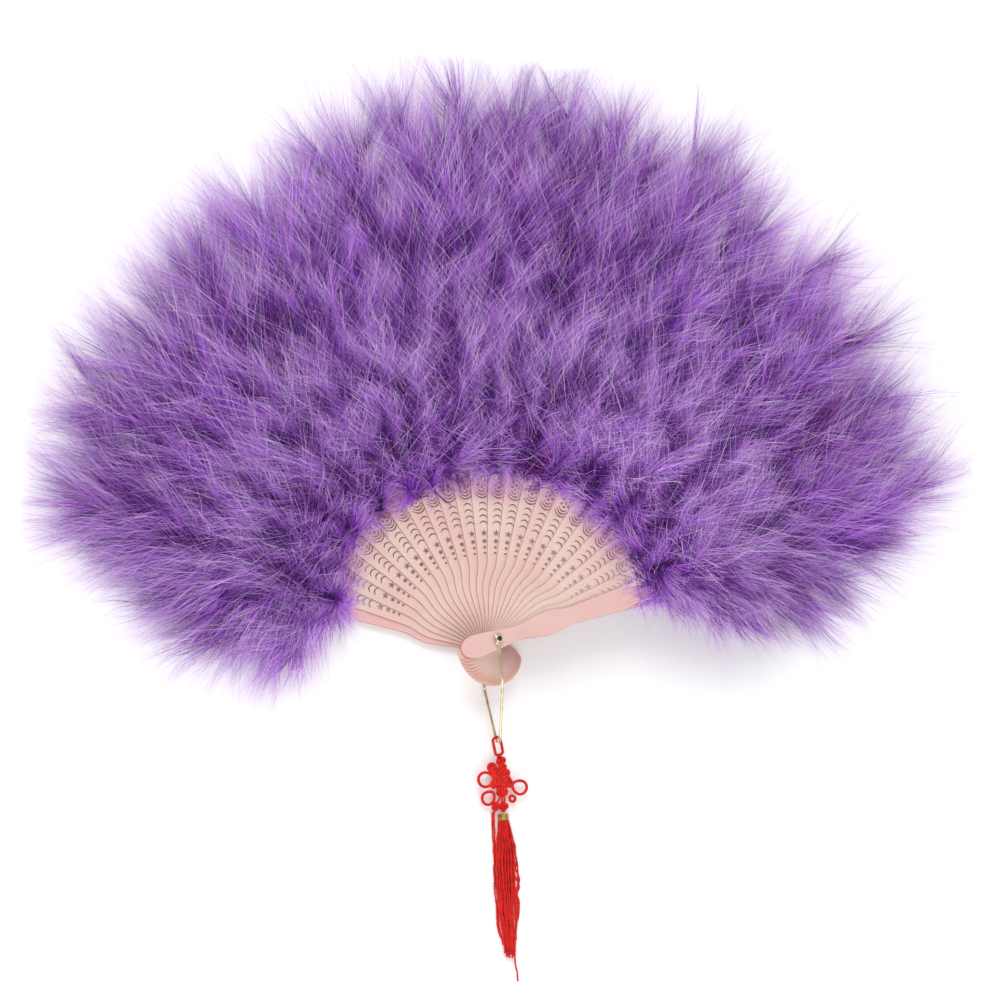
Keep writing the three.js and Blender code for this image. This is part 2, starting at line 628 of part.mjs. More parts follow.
// The knot slopes down from the loop until its stem ends as high as the collar that lies on the table
function pendant() {
  const place = buttonPlace();
  const slope = Math.asin((place.z - COLLAR_RADIUS) / -STEM_BALL_Y);
  const knot = new THREE.Group();
  knot.add(charmKnot());
  knot.rotation.set(slope, 0, radians(KNOT_TURN_ANGLE), "ZYX");
  knot.position.copy(place);
  knot.updateMatrix();
  const tassel = new THREE.Group();
  tassel.add(collar(), tasselThreads());
  tassel.rotation.z = radians(TASSEL_TURN_ANGLE);
  tassel.position.set(0, STEM_BALL_Y, 0).applyMatrix4(knot.matrix);
  return [knot, tassel];
}

function hangingParts() {
  const group = new THREE.Group();
  group.add(bail(), cordLoop(), ...pendant());
  group.rotation.z = radians(BAIL_TURN_ANGLE);
  return group;
}

const fan = new THREE.Group();
fan.add(...guardArms(), ...stickArms(), rivet(), hangingParts());

export default fan;
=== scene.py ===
"""Dresses an open feather fan: pierced sticks, down plumes, a wire bail, a knotted cord and a tassel.

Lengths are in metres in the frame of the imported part. The rivet's axis is Z, with Z = 0 at its rear head,
+Y runs up the middle of the open fan and +Z faces the viewer.
"""

import logging
import math
import random
from collections.abc import Callable, Iterable, Iterator, Sequence
from contextlib import contextmanager
from dataclasses import dataclass, field
from enum import Enum

import bmesh
import bpy
from bpy.types import ColorRamp, Material, Mesh, NodeSocket, NodeTree, Object
from mathutils import Matrix, Vector
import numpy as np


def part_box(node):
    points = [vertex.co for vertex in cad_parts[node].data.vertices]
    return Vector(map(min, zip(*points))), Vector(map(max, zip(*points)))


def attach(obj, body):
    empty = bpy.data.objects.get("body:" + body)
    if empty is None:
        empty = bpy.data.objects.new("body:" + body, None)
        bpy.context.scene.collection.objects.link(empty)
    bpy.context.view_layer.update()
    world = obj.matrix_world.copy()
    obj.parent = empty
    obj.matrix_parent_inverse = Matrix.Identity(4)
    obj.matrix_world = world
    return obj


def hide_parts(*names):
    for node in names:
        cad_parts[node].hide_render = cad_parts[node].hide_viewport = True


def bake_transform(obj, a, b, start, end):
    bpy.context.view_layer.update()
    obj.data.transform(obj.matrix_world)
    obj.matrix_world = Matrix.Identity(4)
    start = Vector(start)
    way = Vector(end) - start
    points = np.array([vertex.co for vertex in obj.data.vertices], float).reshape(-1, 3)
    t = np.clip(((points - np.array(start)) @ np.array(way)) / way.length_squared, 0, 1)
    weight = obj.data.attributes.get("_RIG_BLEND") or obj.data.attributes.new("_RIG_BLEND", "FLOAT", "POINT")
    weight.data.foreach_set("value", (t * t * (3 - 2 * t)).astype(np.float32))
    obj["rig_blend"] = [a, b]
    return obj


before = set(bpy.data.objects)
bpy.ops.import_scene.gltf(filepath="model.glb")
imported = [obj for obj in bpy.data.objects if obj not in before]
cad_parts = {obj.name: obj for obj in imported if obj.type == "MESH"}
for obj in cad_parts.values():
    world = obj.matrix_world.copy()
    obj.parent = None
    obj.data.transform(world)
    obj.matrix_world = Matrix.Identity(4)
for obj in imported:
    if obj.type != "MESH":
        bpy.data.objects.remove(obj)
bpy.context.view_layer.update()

log = logging.getLogger("fan")

MM = 0.001
MERGE_DISTANCE = 1e-6
Colour = tuple[float, float, float, float]
Point = tuple[float, float, float]
Sockets = dict[int | str, object]
Shades = tuple[tuple[int, int, int], ...]
Table = tuple[tuple[float, float], ...]


def paint(red: int, green: int, blue: int) -> Colour:
    """The linear colour of a screen colour.

    Args:
        red: Red from 0 to 255.
        green: Green from 0 to 255.
        blue: Blue from 0 to 255.

    Returns:
        Red, green, blue and alpha as Blender's sockets take them.
    """
    linear = []
    for value in (red, green, blue):
        share = value / 255
        linear.append(share / 12.92 if share <= 0.04045 else ((share + 0.055) / 1.055) ** 2.4)
    return (linear[0], linear[1], linear[2], 1.0)


def smoothstep(value: float, low: float, high: float) -> float:
    """How far value is from low to high, eased at both ends."""
    share = min(1.0, max(0.0, (value - low) / (high - low)))
    return share * share * (3 - 2 * share)


def between(table: Table, place: float) -> float:
    """The value at a place in a table of places and values, held at both ends."""
    for (low, first), (high, second) in zip(table, table[1:]):
        if place <= high:
            return first + (second - first) * max(0.0, place - low) / (high - low)
    return table[-1][1]


def around(count: int) -> list[float]:
    """The angles of a full turn in even steps, in radians."""
    return [2 * math.pi * step / count for step in range(count)]


def polar(distance: float, angle: float, height: float) -> Vector:
    """The point at a distance from the rivet and an angle in degrees from +X, counter-clockwise."""
    turn = math.radians(angle)
    return Vector((distance * math.cos(turn), distance * math.sin(turn), height))


def below(level: float, *lines: Sequence[Point]) -> list[list[Point]]:
    """Lines of points whose second numbers count from a level."""
    return [[(x, level + y, z) for x, y, z in line] for line in lines]


def lying(level: float, first: Sequence[Point], rest: Sequence[tuple[float, float]]) -> list[Point]:
    """A line that begins with some points and goes on at a level, through places on the table."""
    return [*first, *((x, y, level) for x, y in rest)]


def curve_through(points: Sequence[Sequence[float]], steps: int) -> list[Vector]:
    """A smooth open line through points.

    Args:
        points: The points it passes through.
        steps: How many pieces each stretch between two points gets.

    Returns:
        The line's points, with both ends.
    """
    places = [Vector(point) for point in points]
    line = []
    for index in range(len(places) - 1):
        before = places[max(0, index - 1)]
        start, end = places[index], places[index + 1]
        after = places[min(len(places) - 1, index + 2)]
        for step in range(steps):
            share = step / steps
            square, cube = share * share, share**3
            bend = (2 * before - 5 * start + 4 * end - after) * square
            twist = (3 * start - before - 3 * end + after) * cube
            line.append(0.5 * (2 * start + (end - before) * share + bend + twist))
    return [*line, places[-1]]


def operator(operation: str, is_reflected: bool = False) -> Callable[["Wire", object], "Wire"]:
    """Makes the method of an operator of Python, which adds a Math node.

    Args:
        operation: The node's operation.
        is_reflected: Whether the wire is the operator's second part.

    Returns:
        The method.
    """

    def method(wire: "Wire", other: object) -> "Wire":
        """Adds the node and returns its output."""
        parts = (other, wire) if is_reflected else (wire, other)
        return wire.tree.sum(operation, *parts)

    return method


class Wire:
    """An output socket of a node, which can be used in sums."""

    __add__, __radd__ = operator("ADD"), operator("ADD", is_reflected=True)
    __sub__, __rsub__ = operator("SUBTRACT"), operator("SUBTRACT", is_reflected=True)
    __mul__, __rmul__ = operator("MULTIPLY"), operator("MULTIPLY", is_reflected=True)
    __truediv__, __pow__ = operator("DIVIDE"), operator("POWER")

    def __init__(self, tree: "Tree", socket: NodeSocket) -> None:
        """Keeps the socket and the tree that it is in."""
        self.tree = tree
        self.socket = socket

    def other(self, index: int) -> "Wire":
        """Another output of the same node."""
        return Wire(self.tree, self.socket.node.outputs[index])


class Tree:
    """A node tree under construction, of a material or of geometry."""

    def __init__(self, tree: NodeTree) -> None:
        """Keeps the tree that the nodes go into."""
        self.tree = tree

    def node(
        self,
        kind: str,
        settings: dict[str, object] | None = None,
        sockets: Sockets | None = None,
        output: int = 0,
    ) -> Wire:
        """Adds a node.

        Args:
            kind: The node's type.
            settings: Its settings, such as an operation, or a ramp's stops. They are set first.
            sockets: The values or wires of its input sockets, by number or name.
            output: The output that is wanted.

        Returns:
            The wanted output.
        """
        made = self.tree.nodes.new(kind)
        for name, value in (settings or {}).items():
            if name == "stops":
                self._set_stops(made.color_ramp, value)
            else:
                setattr(made, name, value)
        for key, value in (sockets or {}).items():
            self.feed(made.inputs[key], value)
        return Wire(self, made.outputs[output])

    def feed(self, socket: NodeSocket, value: object) -> None:
        """Gives an input socket its value, or links a wire, or a list of wires, to it."""
        if isinstance(value, Wire):
            self.tree.links.new(value.socket, socket)
        elif isinstance(value, list):
            for wire in value:
                self.tree.links.new(wire.socket, socket)
        elif socket.type == "VECTOR" and isinstance(value, (int, float)):
            socket.default_value = (value, value, value)
        else:
            socket.default_value = value

    def sum(self, operation: str, *parts: object) -> Wire:
        """A Math node, or a Vector Math node where any part is a vector."""
        is_vector = any(
            isinstance(part, (tuple, Vector)) or (isinstance(part, Wire) and part.socket.type == "VECTOR")
            for part in parts
        )
        kind = "ShaderNodeVectorMath" if is_vector else "ShaderNodeMath"
        return self.node(kind, {"operation": operation}, dict(enumerate(parts)))

    def length(self, vector: object) -> Wire:
        """The length of a vector."""
        return self.node("ShaderNodeVectorMath", {"operation": "LENGTH"}, {0: vector}, output=1)

    def remap(
        self,
        value: Wire,
        low: float,
        high: float,
        to_low: object = 0.0,
        to_high: object = 1.0,
        is_smooth: bool = False,
    ) -> Wire:
        """Maps a value from one range to another, held at both ends."""
        kind = "SMOOTHSTEP" if is_smooth else "LINEAR"
        sockets = {0: value, 1: low, 2: high, 3: to_low, 4: to_high}
        return self.node("ShaderNodeMapRange", {"interpolation_type": kind}, sockets)

    def apart(self, vector: Wire) -> tuple[Wire, Wire, Wire]:
        """The three numbers of a vector."""
        first = self.node("ShaderNodeSeparateXYZ", sockets={0: vector})
        return first, first.other(1), first.other(2)

    def together(self, x: object, y: object, z: object) -> Wire:
        """A vector from three numbers."""
        return self.node("ShaderNodeCombineXYZ", sockets={0: x, 1: y, 2: z})

    def noise(self, vector: Wire, size: float, detail: float = 2.0, output: int = 0) -> Wire:
        """Cloudy noise with features of about a size in metres; output 1 is its three-way colour."""
        sockets = {"Vector": vector, "Scale": 1 / size, "Detail": detail}
        return self.node("ShaderNodeTexNoise", {"noise_dimensions": "3D"}, sockets, output)

    @staticmethod
    def _set_stops(ramp: ColorRamp, stops: Sequence[tuple[float, Colour]]) -> None:
        """Sets a colour ramp's stops, from its low end to its high end."""
        while len(ramp.elements) < len(stops):
            ramp.elements.new(1.0)
        for element, (place, colour) in zip(ramp.elements, stops):
            element.position = place
            element.color = colour


class Surface(Tree):
    """A material under construction, on one Principled shader."""

    def __init__(self, name: str, constants: dict[str, object]) -> None:
        """Makes the material and sets what is the same all over it.

        Args:
            name: The material's name.
            constants: The values of the shader's own sockets.
        """
        self.material = bpy.data.materials.new(name)
        self.material.use_nodes = True
        super().__init__(self.material.node_tree)
        self.tree.nodes.clear()
        self.shader = self.tree.nodes.new("ShaderNodeBsdfPrincipled")
        output = self.tree.nodes.new("ShaderNodeOutputMaterial")
        self.tree.links.new(self.shader.outputs[0], output.inputs[0])
        for socket, value in constants.items():
            self.shader.inputs[socket].default_value = value

    def wear(self, socket: str, value: Wire) -> None:
        """Feeds one of the shader's sockets with what changes over the surface."""
        self.tree.links.new(value.socket, self.shader.inputs[socket])

    def place(self) -> Wire:
        """Where a point is on the object."""
        return self.node("ShaderNodeTexCoord", output=3)

    def map(self, name: str) -> Wire:
        """Where a point is on one of the piece's own maps."""
        return self.node("ShaderNodeUVMap", {"uv_map": name})

    def attribute(self, name: str, output: int) -> Wire:
        """An attribute of the piece: its vector, output 1, or its number, output 2."""
        return self.node("ShaderNodeAttribute", {"attribute_name": name}, output=output)

    def ramp(self, value: Wire, stops: Sequence[tuple[float, Colour]]) -> Wire:
        """A colour that follows a value from 0 to 1."""
        return self.node("ShaderNodeValToRGB", {"stops": stops}, {0: value})

    def mix(self, factor: object, first: object, second: object, blend: str = "MIX") -> Wire:
        """A mix of two colours."""
        settings = {"data_type": "RGBA", "blend_type": blend}
        return self.node("ShaderNodeMix", settings, {0: factor, 6: first, 7: second}, output=2)

    def bump(self, height: Wire, strength: float, distance: float) -> None:
        """Roughens the surface by a height from 0 to 1 that stands for a distance in metres."""
        sockets = {"Strength": strength, "Distance": distance, "Height": height}
        self.wear("Normal", self.node("ShaderNodeBump", sockets=sockets))


class Growth(Tree):
    """A geometry tree under construction."""

    def __init__(self, name: str) -> None:
        """Makes an empty tree with one geometry input and one geometry output."""
        super().__init__(bpy.data.node_groups.new(name, "GeometryNodeTree"))
        self.tree.interface.new_socket("Geometry", in_out="INPUT", socket_type="NodeSocketGeometry")
        self.tree.interface.new_socket("Geometry", in_out="OUTPUT", socket_type="NodeSocketGeometry")
        self.inlet = self.tree.nodes.new("NodeGroupInput")
        self.outlet = self.tree.nodes.new("NodeGroupOutput")

    def source(self) -> Wire:
        """The mesh that the tree is used on."""
        return Wire(self, self.inlet.outputs[0])

    def size(self, name: str, default: float) -> Wire:
        """A named size that each use of the tree may set."""
        made = self.tree.interface.new_socket(name, in_out="INPUT", socket_type="NodeSocketFloat")
        made.default_value = default
        return Wire(self, self.inlet.outputs[name])

    def attribute(self, name: str, kind: str = "FLOAT") -> Wire:
        """A named attribute."""
        return self.node("GeometryNodeInputNamedAttribute", {"data_type": kind}, {"Name": name})

    def store(
        self, geometry: Wire, name: str, value: object, kind: str = "FLOAT", domain: str = "POINT"
    ) -> Wire:
        """Stores a named attribute on a geometry."""
        sockets = {"Name": name, "Value": value}
        return self.geometry("StoreNamedAttribute", geometry, sockets, data_type=kind, domain=domain)

    def random(self, low: float, high: float, seed: int) -> Wire:
        """A random number for each point."""
        sockets = {2: low, 3: high, 8: seed}
        return self.node("FunctionNodeRandomValue", {"data_type": "FLOAT"}, sockets, output=1)

    def scatter(self, vector: Wire) -> Wire:
        """A random vector round zero that is the same wherever the given vector is."""
        settings = {"noise_dimensions": "3D"}
        colour = self.node("ShaderNodeTexWhiteNoise", settings, {"Vector": vector}, output=1)
        return (colour - (0.5, 0.5, 0.5)) * 2.0

    def random_vector(self, seed: int) -> Wire:
        """A random vector for each point, with numbers from -1 to 1."""
        sockets = {0: (-1, -1, -1), 1: (1, 1, 1), 8: seed}
        return self.node("FunctionNodeRandomValue", {"data_type": "FLOAT_VECTOR"}, sockets)

    def sway(self, vector: Wire, size: float) -> Wire:
        """A noise vector round zero that is alike for points nearer than a size in metres."""
        return (self.noise(vector, size, detail=1.0, output=1) - (0.5, 0.5, 0.5)) * 2.0

    def geometry(
        self, kind: str, geometry: object, sockets: Sockets | None = None, **settings: object
    ) -> Wire:
        """A node that changes a geometry, by its type without GeometryNode."""
        return self.node(f"GeometryNode{kind}", settings, {0: geometry, **(sockets or {})})

    def circle(self, sides: int, radius: object) -> Wire:
        """The round profile of a tube."""
        sockets = {0: sides, 4: radius}
        return self.node("GeometryNodeCurvePrimitiveCircle", {"mode": "RADIUS"}, sockets)

    def parameter(self) -> Wire:
        """How far along its curve each point is, as a share, or output 1 in metres."""
        return self.node("GeometryNodeSplineParameter")

    def place(self) -> Wire:
        """Where each point is."""
        return self.node("GeometryNodeInputPosition")

    def attributes(self, *names: str) -> list[Wire]:
        """Several named numbers."""
        return [self.attribute(name) for name in names]

    def finish(self, geometry: Wire, material: Material) -> NodeTree:
        """Ends the tree in Realize Instances and Set Material, and returns it."""
        real = self.geometry("RealizeInstances", geometry)
        dressed = self.geometry("SetMaterial", real, {"Material": material})
        self.tree.links.new(dressed.socket, self.outlet.inputs[0])
        return self.tree


def line_mesh(name: str, lines: Iterable[Sequence[Point]], is_closed: bool = False) -> Mesh:
    """A mesh of bare edges along lines of points.

    Args:
        name: The mesh's name.
        lines: The lines, each a row of points.
        is_closed: Whether each line ends where it began.

    Returns:
        The mesh.
    """
    points: list[Point] = []
    edges: list[tuple[int, int]] = []
    for line in lines:
        first = len(points)
        points.extend(tuple(point) for point in line)
        edges.extend((index, index + 1) for index in range(first, len(points) - 1))
        if is_closed:
            edges.append((len(points) - 1, first))
    mesh = bpy.data.meshes.new(name)
    mesh.from_pydata(points, edges, [])
    return mesh


def shown(name: str, data: object) -> Object:
    """A new object in the scene."""
    made = bpy.data.objects.new(name, data)
    bpy.context.scene.collection.objects.link(made)
    return made


def applied(holder: Object) -> Mesh:
    """The mesh that an object's modifier makes. The object and its own mesh are removed."""
    source = holder.data
    depsgraph = bpy.context.evaluated_depsgraph_get()
    mesh = bpy.data.meshes.new_from_object(holder.evaluated_get(depsgraph), depsgraph=depsgraph)
    bpy.data.objects.remove(holder)
    bpy.data.meshes.remove(source)
    return mesh


@contextmanager
def edited(mesh: Mesh) -> Iterator[bmesh.types.BMesh]:
    """Opens a mesh for changes, which are written back at the end."""
    work = bmesh.new()
    work.from_mesh(mesh)
    yield work
    work.to_mesh(mesh)
    work.free()


def grown(tree: NodeTree, source: Mesh, **sizes: float) -> Mesh:
    """Uses a geometry tree on a mesh.

    Args:
        tree: The geometry tree.
        source: The mesh it is used on, which is removed.
        sizes: Sizes by the names of the tree's inputs, with _ for a space.

    Returns:
        The result as a plain mesh.
    """
    holder = shown(source.name, source)
    modifier = holder.modifiers.new(tree.name, "NODES")
    modifier.node_group = tree
    for item in tree.interface.items_tree:
        key = item.name.replace(" ", "_")
        if item.item_type == "SOCKET" and item.in_out == "INPUT" and key in sizes:
            modifier[item.identifier] = sizes[key]
    return applied(holder)


def rounded(mesh: Mesh, width: float) -> Mesh:
    """A mesh with its sharp edges bevelled."""
    holder = shown(mesh.name, mesh)
    bevel = holder.modifiers.new("edge", "BEVEL")
    bevel.width = width
    bevel.segments = 2
    bevel.limit_method = "ANGLE"
    bevel.angle_limit = math.radians(40)
    bevel.miter_outer = "MITER_ARC"
    return applied(holder)


def clear(mesh: Mesh, *names: str) -> None:
    """Removes the attributes that only a geometry tree needed."""
    for name in names:
        if name in mesh.attributes:
            mesh.attributes.remove(mesh.attributes[name])


def smooth(mesh: Mesh, angle: float) -> Mesh:
    """Shades a mesh smooth, except over edges that turn by more than an angle in degrees."""
    mesh.shade_smooth()
    mesh.set_sharp_from_angle(angle=math.radians(angle))
    return mesh


def outward(mesh: Mesh) -> Mesh:
    """Merges a closed mesh's double points and turns its faces outwards."""
    with edited(mesh) as work:
        bmesh.ops.remove_doubles(work, verts=work.verts, dist=MERGE_DISTANCE)
        bmesh.ops.recalc_face_normals(work, faces=work.faces)
    return mesh


def joined(name: str, meshes: Iterable[Mesh]) -> Mesh:
    """One mesh out of several that share their materials."""
    whole = bpy.data.meshes.new(name)
    materials: list[Material] = []
    with edited(whole) as work:
        for mesh in meshes:
            work.from_mesh(mesh)
            materials = materials or list(mesh.materials)
            bpy.data.meshes.remove(mesh)
    for material in materials:
        whole.materials.append(material)
    return whole


def piece(name: str, mesh: Mesh, body: str | None, slot: str, *nodes: str) -> Object:
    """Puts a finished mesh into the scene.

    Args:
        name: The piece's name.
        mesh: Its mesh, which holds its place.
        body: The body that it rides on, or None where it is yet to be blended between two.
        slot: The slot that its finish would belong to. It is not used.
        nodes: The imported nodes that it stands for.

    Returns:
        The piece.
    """
    made = shown(name, mesh)
    mesh.name = name
    if body:
        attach(made, body)
    if nodes:
        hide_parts(*nodes)
    log.info("%s: %d faces on %s", name, len(mesh.polygons), body or "two bodies")
    return made


@dataclass(frozen=True)
class MouldedPlastic:
    """Satin pink plastic that the dye of the feathers has tinted near them, with painted shade on the walls
    of its holes and beside the tails.
    """

    name: str
    body: Colour
    warm: Colour
    dye: Colour
    dye_from: float = 74 * MM
    dye_to: float = 92 * MM
    cloud: float = 26 * MM
    patch: float = 17 * MM
    translucency: float = 0.4
    # Painted shade: the side walls of the holes darker and redder, for the dim light inside them.
    shade: Colour = paint(178, 92, 84)
    stain: Colour = paint(178, 94, 182)
    stain_at: tuple[float, float] = (1 * MM, 92 * MM)
    stain_reach: float = 21 * MM
    # Painted shade in the creases beside the sticks' tails.
    crease: Colour = paint(226, 160, 140)

    def painted_crease_shade(self, surface: Surface) -> Wire:
        """How deep in the crease beside the next tail a point of a stick's tail lies, for the painted shade
        there.
        """
        x, y, _ = surface.apart(surface.attribute("spot", output=1))
        near = surface.remap(x, 0.6 * MM, 2.4 * MM)
        far = surface.remap(x, 2.6 * MM, 4.9 * MM, 1.0, 0.0)
        return near * far * surface.remap(y, -8 * MM, -3 * MM, 1.0, 0.0)

    def material(self) -> Material:
        """Makes the material."""
        constants = {"IOR": 1.47, "Specular IOR Level": 0.42, "Subsurface Weight": self.translucency}
        constants |= {"Subsurface Radius": (1.0, 0.36, 0.28), "Subsurface Scale": 2.5 * MM}
        surface = Surface(self.name, constants)
        place = surface.place()
        clouds = surface.noise(place, self.cloud, 3.0)
        colour = surface.mix(surface.remap(clouds, 0.38, 0.66), self.body, self.warm)
        distance = surface.length(place * (1.0, 1.0, 0.0))
        patches = surface.remap(surface.noise(place, self.patch, 3.0), 0.37, 0.57, 0.2, 1.0)
        dyed = surface.remap(distance, self.dye_from, self.dye_to, 0.0, 0.95, is_smooth=True) * patches
        colour = surface.mix(dyed, colour, self.dye)
        away = surface.length(place * (1.0, 1.0, 0.0) - (*self.stain_at, 0.0))
        reach = self.stain_reach
        stained = surface.remap(away, 0.15 * reach, reach, 0.85, 0.0, is_smooth=True)
        colour = surface.mix(stained * (patches * 0.6 + 0.4), colour, self.stain)
        # Painted shade: darker in the crease beside each tail, so the tails show as ribs.
        colour = surface.mix(self.painted_crease_shade(surface) * 0.75, colour, self.crease)
        # The walls of the holes are painted darker and redder: painted shade inside the holes.
        wall = surface.attribute("wall", output=2)
        surface.wear("Base Color", surface.mix(wall * 0.7, colour, self.shade))
        grain = surface.noise(place, 1.1 * MM, 3.0)
        surface.wear("Roughness", surface.remap(grain, 0.3, 0.7, 0.36, 0.52))
        flow = surface.noise(place, 7 * MM)
        surface.bump(grain * 0.35 + flow, 0.25, 0.12 * MM)
        return surface.material


@dataclass(frozen=True)
class DyedDown:
    """Dyed down: dark where it leaves its quill and pale at its tips, with some barbs dyed redder."""

    name: str = "dyed_down"
    dark: Shades = ((22, 0, 42), (38, 4, 70), (64, 14, 104), (112, 50, 162), (194, 152, 230))
    light: Shades = ((96, 26, 146), (162, 74, 214), (204, 126, 244), (230, 180, 252), (250, 236, 255))
    red: Shades = ((84, 2, 82), (136, 16, 134), (166, 42, 174), (192, 98, 208), (228, 184, 242))
    places: tuple[float, ...] = (0.0, 0.25, 0.55, 0.8, 1.0)
    red_share: float = 0.12

    def material(self) -> Material:
        """Makes the material. Its map gives a barb's tone and how far along it a point is."""
        surface = Surface(self.name, {"Roughness": 0.68, "Specular IOR Level": 0.2})
        tone, along, _ = surface.apart(surface.map("strand"))
        dark, light, red = (
            surface.ramp(along, [(at, paint(*shade)) for at, shade in zip(self.places, shades)])
            for shades in (self.dark, self.light, self.red)
        )
        shade = surface.remap(tone, self.red_share, 1.0)
        is_red = surface.remap(tone, self.red_share * 0.7, self.red_share, 1.0, 0.0)
        surface.wear("Base Color", surface.mix(is_red, surface.mix(shade, dark, light), red))
        return surface.material


@dataclass(frozen=True)
class PaleBrass:
    """Bright pale gold wire, a little dulled in patches."""

    name: str = "pale_brass"
    bright: Colour = paint(242, 231, 194)
    dull: Colour = paint(190, 172, 122)

    def material(self) -> Material:
        """Makes the material."""
        surface = Surface(self.name, {"Metallic": 1.0})
        place = surface.place()
        patches = surface.noise(place, 5 * MM, 4.0)
        surface.wear("Base Color", surface.mix(surface.remap(patches, 0.45, 0.7), self.bright, self.dull))
        fine = surface.noise(place, 0.5 * MM)
        surface.wear("Roughness", surface.remap(patches + fine * 0.3, 0.5, 0.9, 0.14, 0.34))
        surface.bump(fine, 0.08, 0.03 * MM)
        return surface.material


@dataclass(frozen=True)
class SpunThread:
    """Spun thread, whose fibres run slantwise round each ply."""

    name: str
    bright: Colour
    deep: Colour
    roughness: float
    metallic: float = 0.0
    fibres: float = 9.0

    def material(self) -> Material:
        """Makes the material. Its map gives a place round the ply and the length along it in millimetres."""
        surface = Surface(self.name, {"Specular IOR Level": 0.4, "Metallic": self.metallic})
        around, run, _ = surface.apart(surface.map("ply"))
        slant = surface.together(around * self.fibres + run * 1.2, run * 0.5, 0.0)
        streaks = surface.noise(slant, 1.0)
        patches = surface.noise(surface.place(), 4 * MM)
        shade = surface.remap(streaks * 0.7 + patches * 0.6, 0.45, 0.85)
        surface.wear("Base Color", surface.mix(shade, self.deep, self.bright))
        low, high = self.roughness - 0.1, self.roughness + 0.12
        surface.wear("Roughness", surface.remap(streaks, 0.3, 0.7, low, high))
        surface.bump(streaks, 0.5, 0.05 * MM)
        return surface.material


class Kind(Enum):
    """What an arm of the fan is built on."""

    STICK = "stick"
    REAR_GUARD = "rear guard"
    FRONT_GUARD = "front guard"


@dataclass(frozen=True)
class Arm:
    """One blade of the fan with its spray of feathers."""

    blade: str
    spray: str
    body: str
    angle: float
    kind: Kind = Kind.STICK

    def levels(self) -> tuple[float, float]:
        """The blade's lower and upper level."""
        low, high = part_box(self.blade)
        return low[2], high[2]

    def placed(self) -> Matrix:
        """Turns a blade that points along +Y to the arm's angle, at its level."""
        turn = Matrix.Rotation(math.radians(self.angle - 90), 4, "Z")
        return Matrix.Translation((0, 0, self.levels()[0])) @ turn


@dataclass
class FanFrame:
    """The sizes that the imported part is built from, which every sub-assembly here follows."""

    stick_count: int = 23
    rear_guard_angle: float = 165.3
    first_stick_angle: float = 161.2
    stick_step_angle: float = 6.19
    front_guard_angle: float = 19.8
    blade_length: float = 98 * MM
    tongue_length: float = 14 * MM
    fork_end: float = 112.3 * MM
    droop_end: float = 205 * MM
    droop_spread_angle: float = 13.0
    table_clearance: float = 0.5 * MM
    stick_pitch: float = 1.2 * MM
    first_stick_level: float = field(init=False)

    def __post_init__(self) -> None:
        """Reads the first stick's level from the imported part."""
        self.first_stick_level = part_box("stick_01")[0][2]

    def angle_of(self, number: int) -> float:
        """The angle of a stick, counted from 1."""
        return self.first_stick_angle - self.stick_step_angle * (number - 1)

    def droop(self, distance: float, angle: float) -> float:
        """How far the feathers hang below their stick's level, at a place of the open fan."""
        past = smoothstep(distance, self.fork_end, self.droop_end)
        lowest = self.first_stick_angle - self.droop_spread_angle - angle
        level = self.first_stick_level + lowest / self.stick_step_angle * self.stick_pitch
        return past * max(0.0, level - self.table_clearance)

    def arms(self) -> list[Arm]:
        """Every arm of the fan, from the rear guard round to the front guard."""
        sticks = [
            Arm(f"stick_{number:02d}", f"feathers_{number:02d}", f"arm_{number:02d}", self.angle_of(number))
            for number in range(1, self.stick_count + 1)
        ]
        guards = [
            Arm(f"{side}_guard", f"{side}_guard_feathers", f"{side}_arm", angle, kind)
            for side, angle, kind in (
                ("rear", self.rear_guard_angle, Kind.REAR_GUARD),
                ("front", self.front_guard_angle, Kind.FRONT_GUARD),
            )
        ]
        return [guards[0], *sticks, guards[1]]


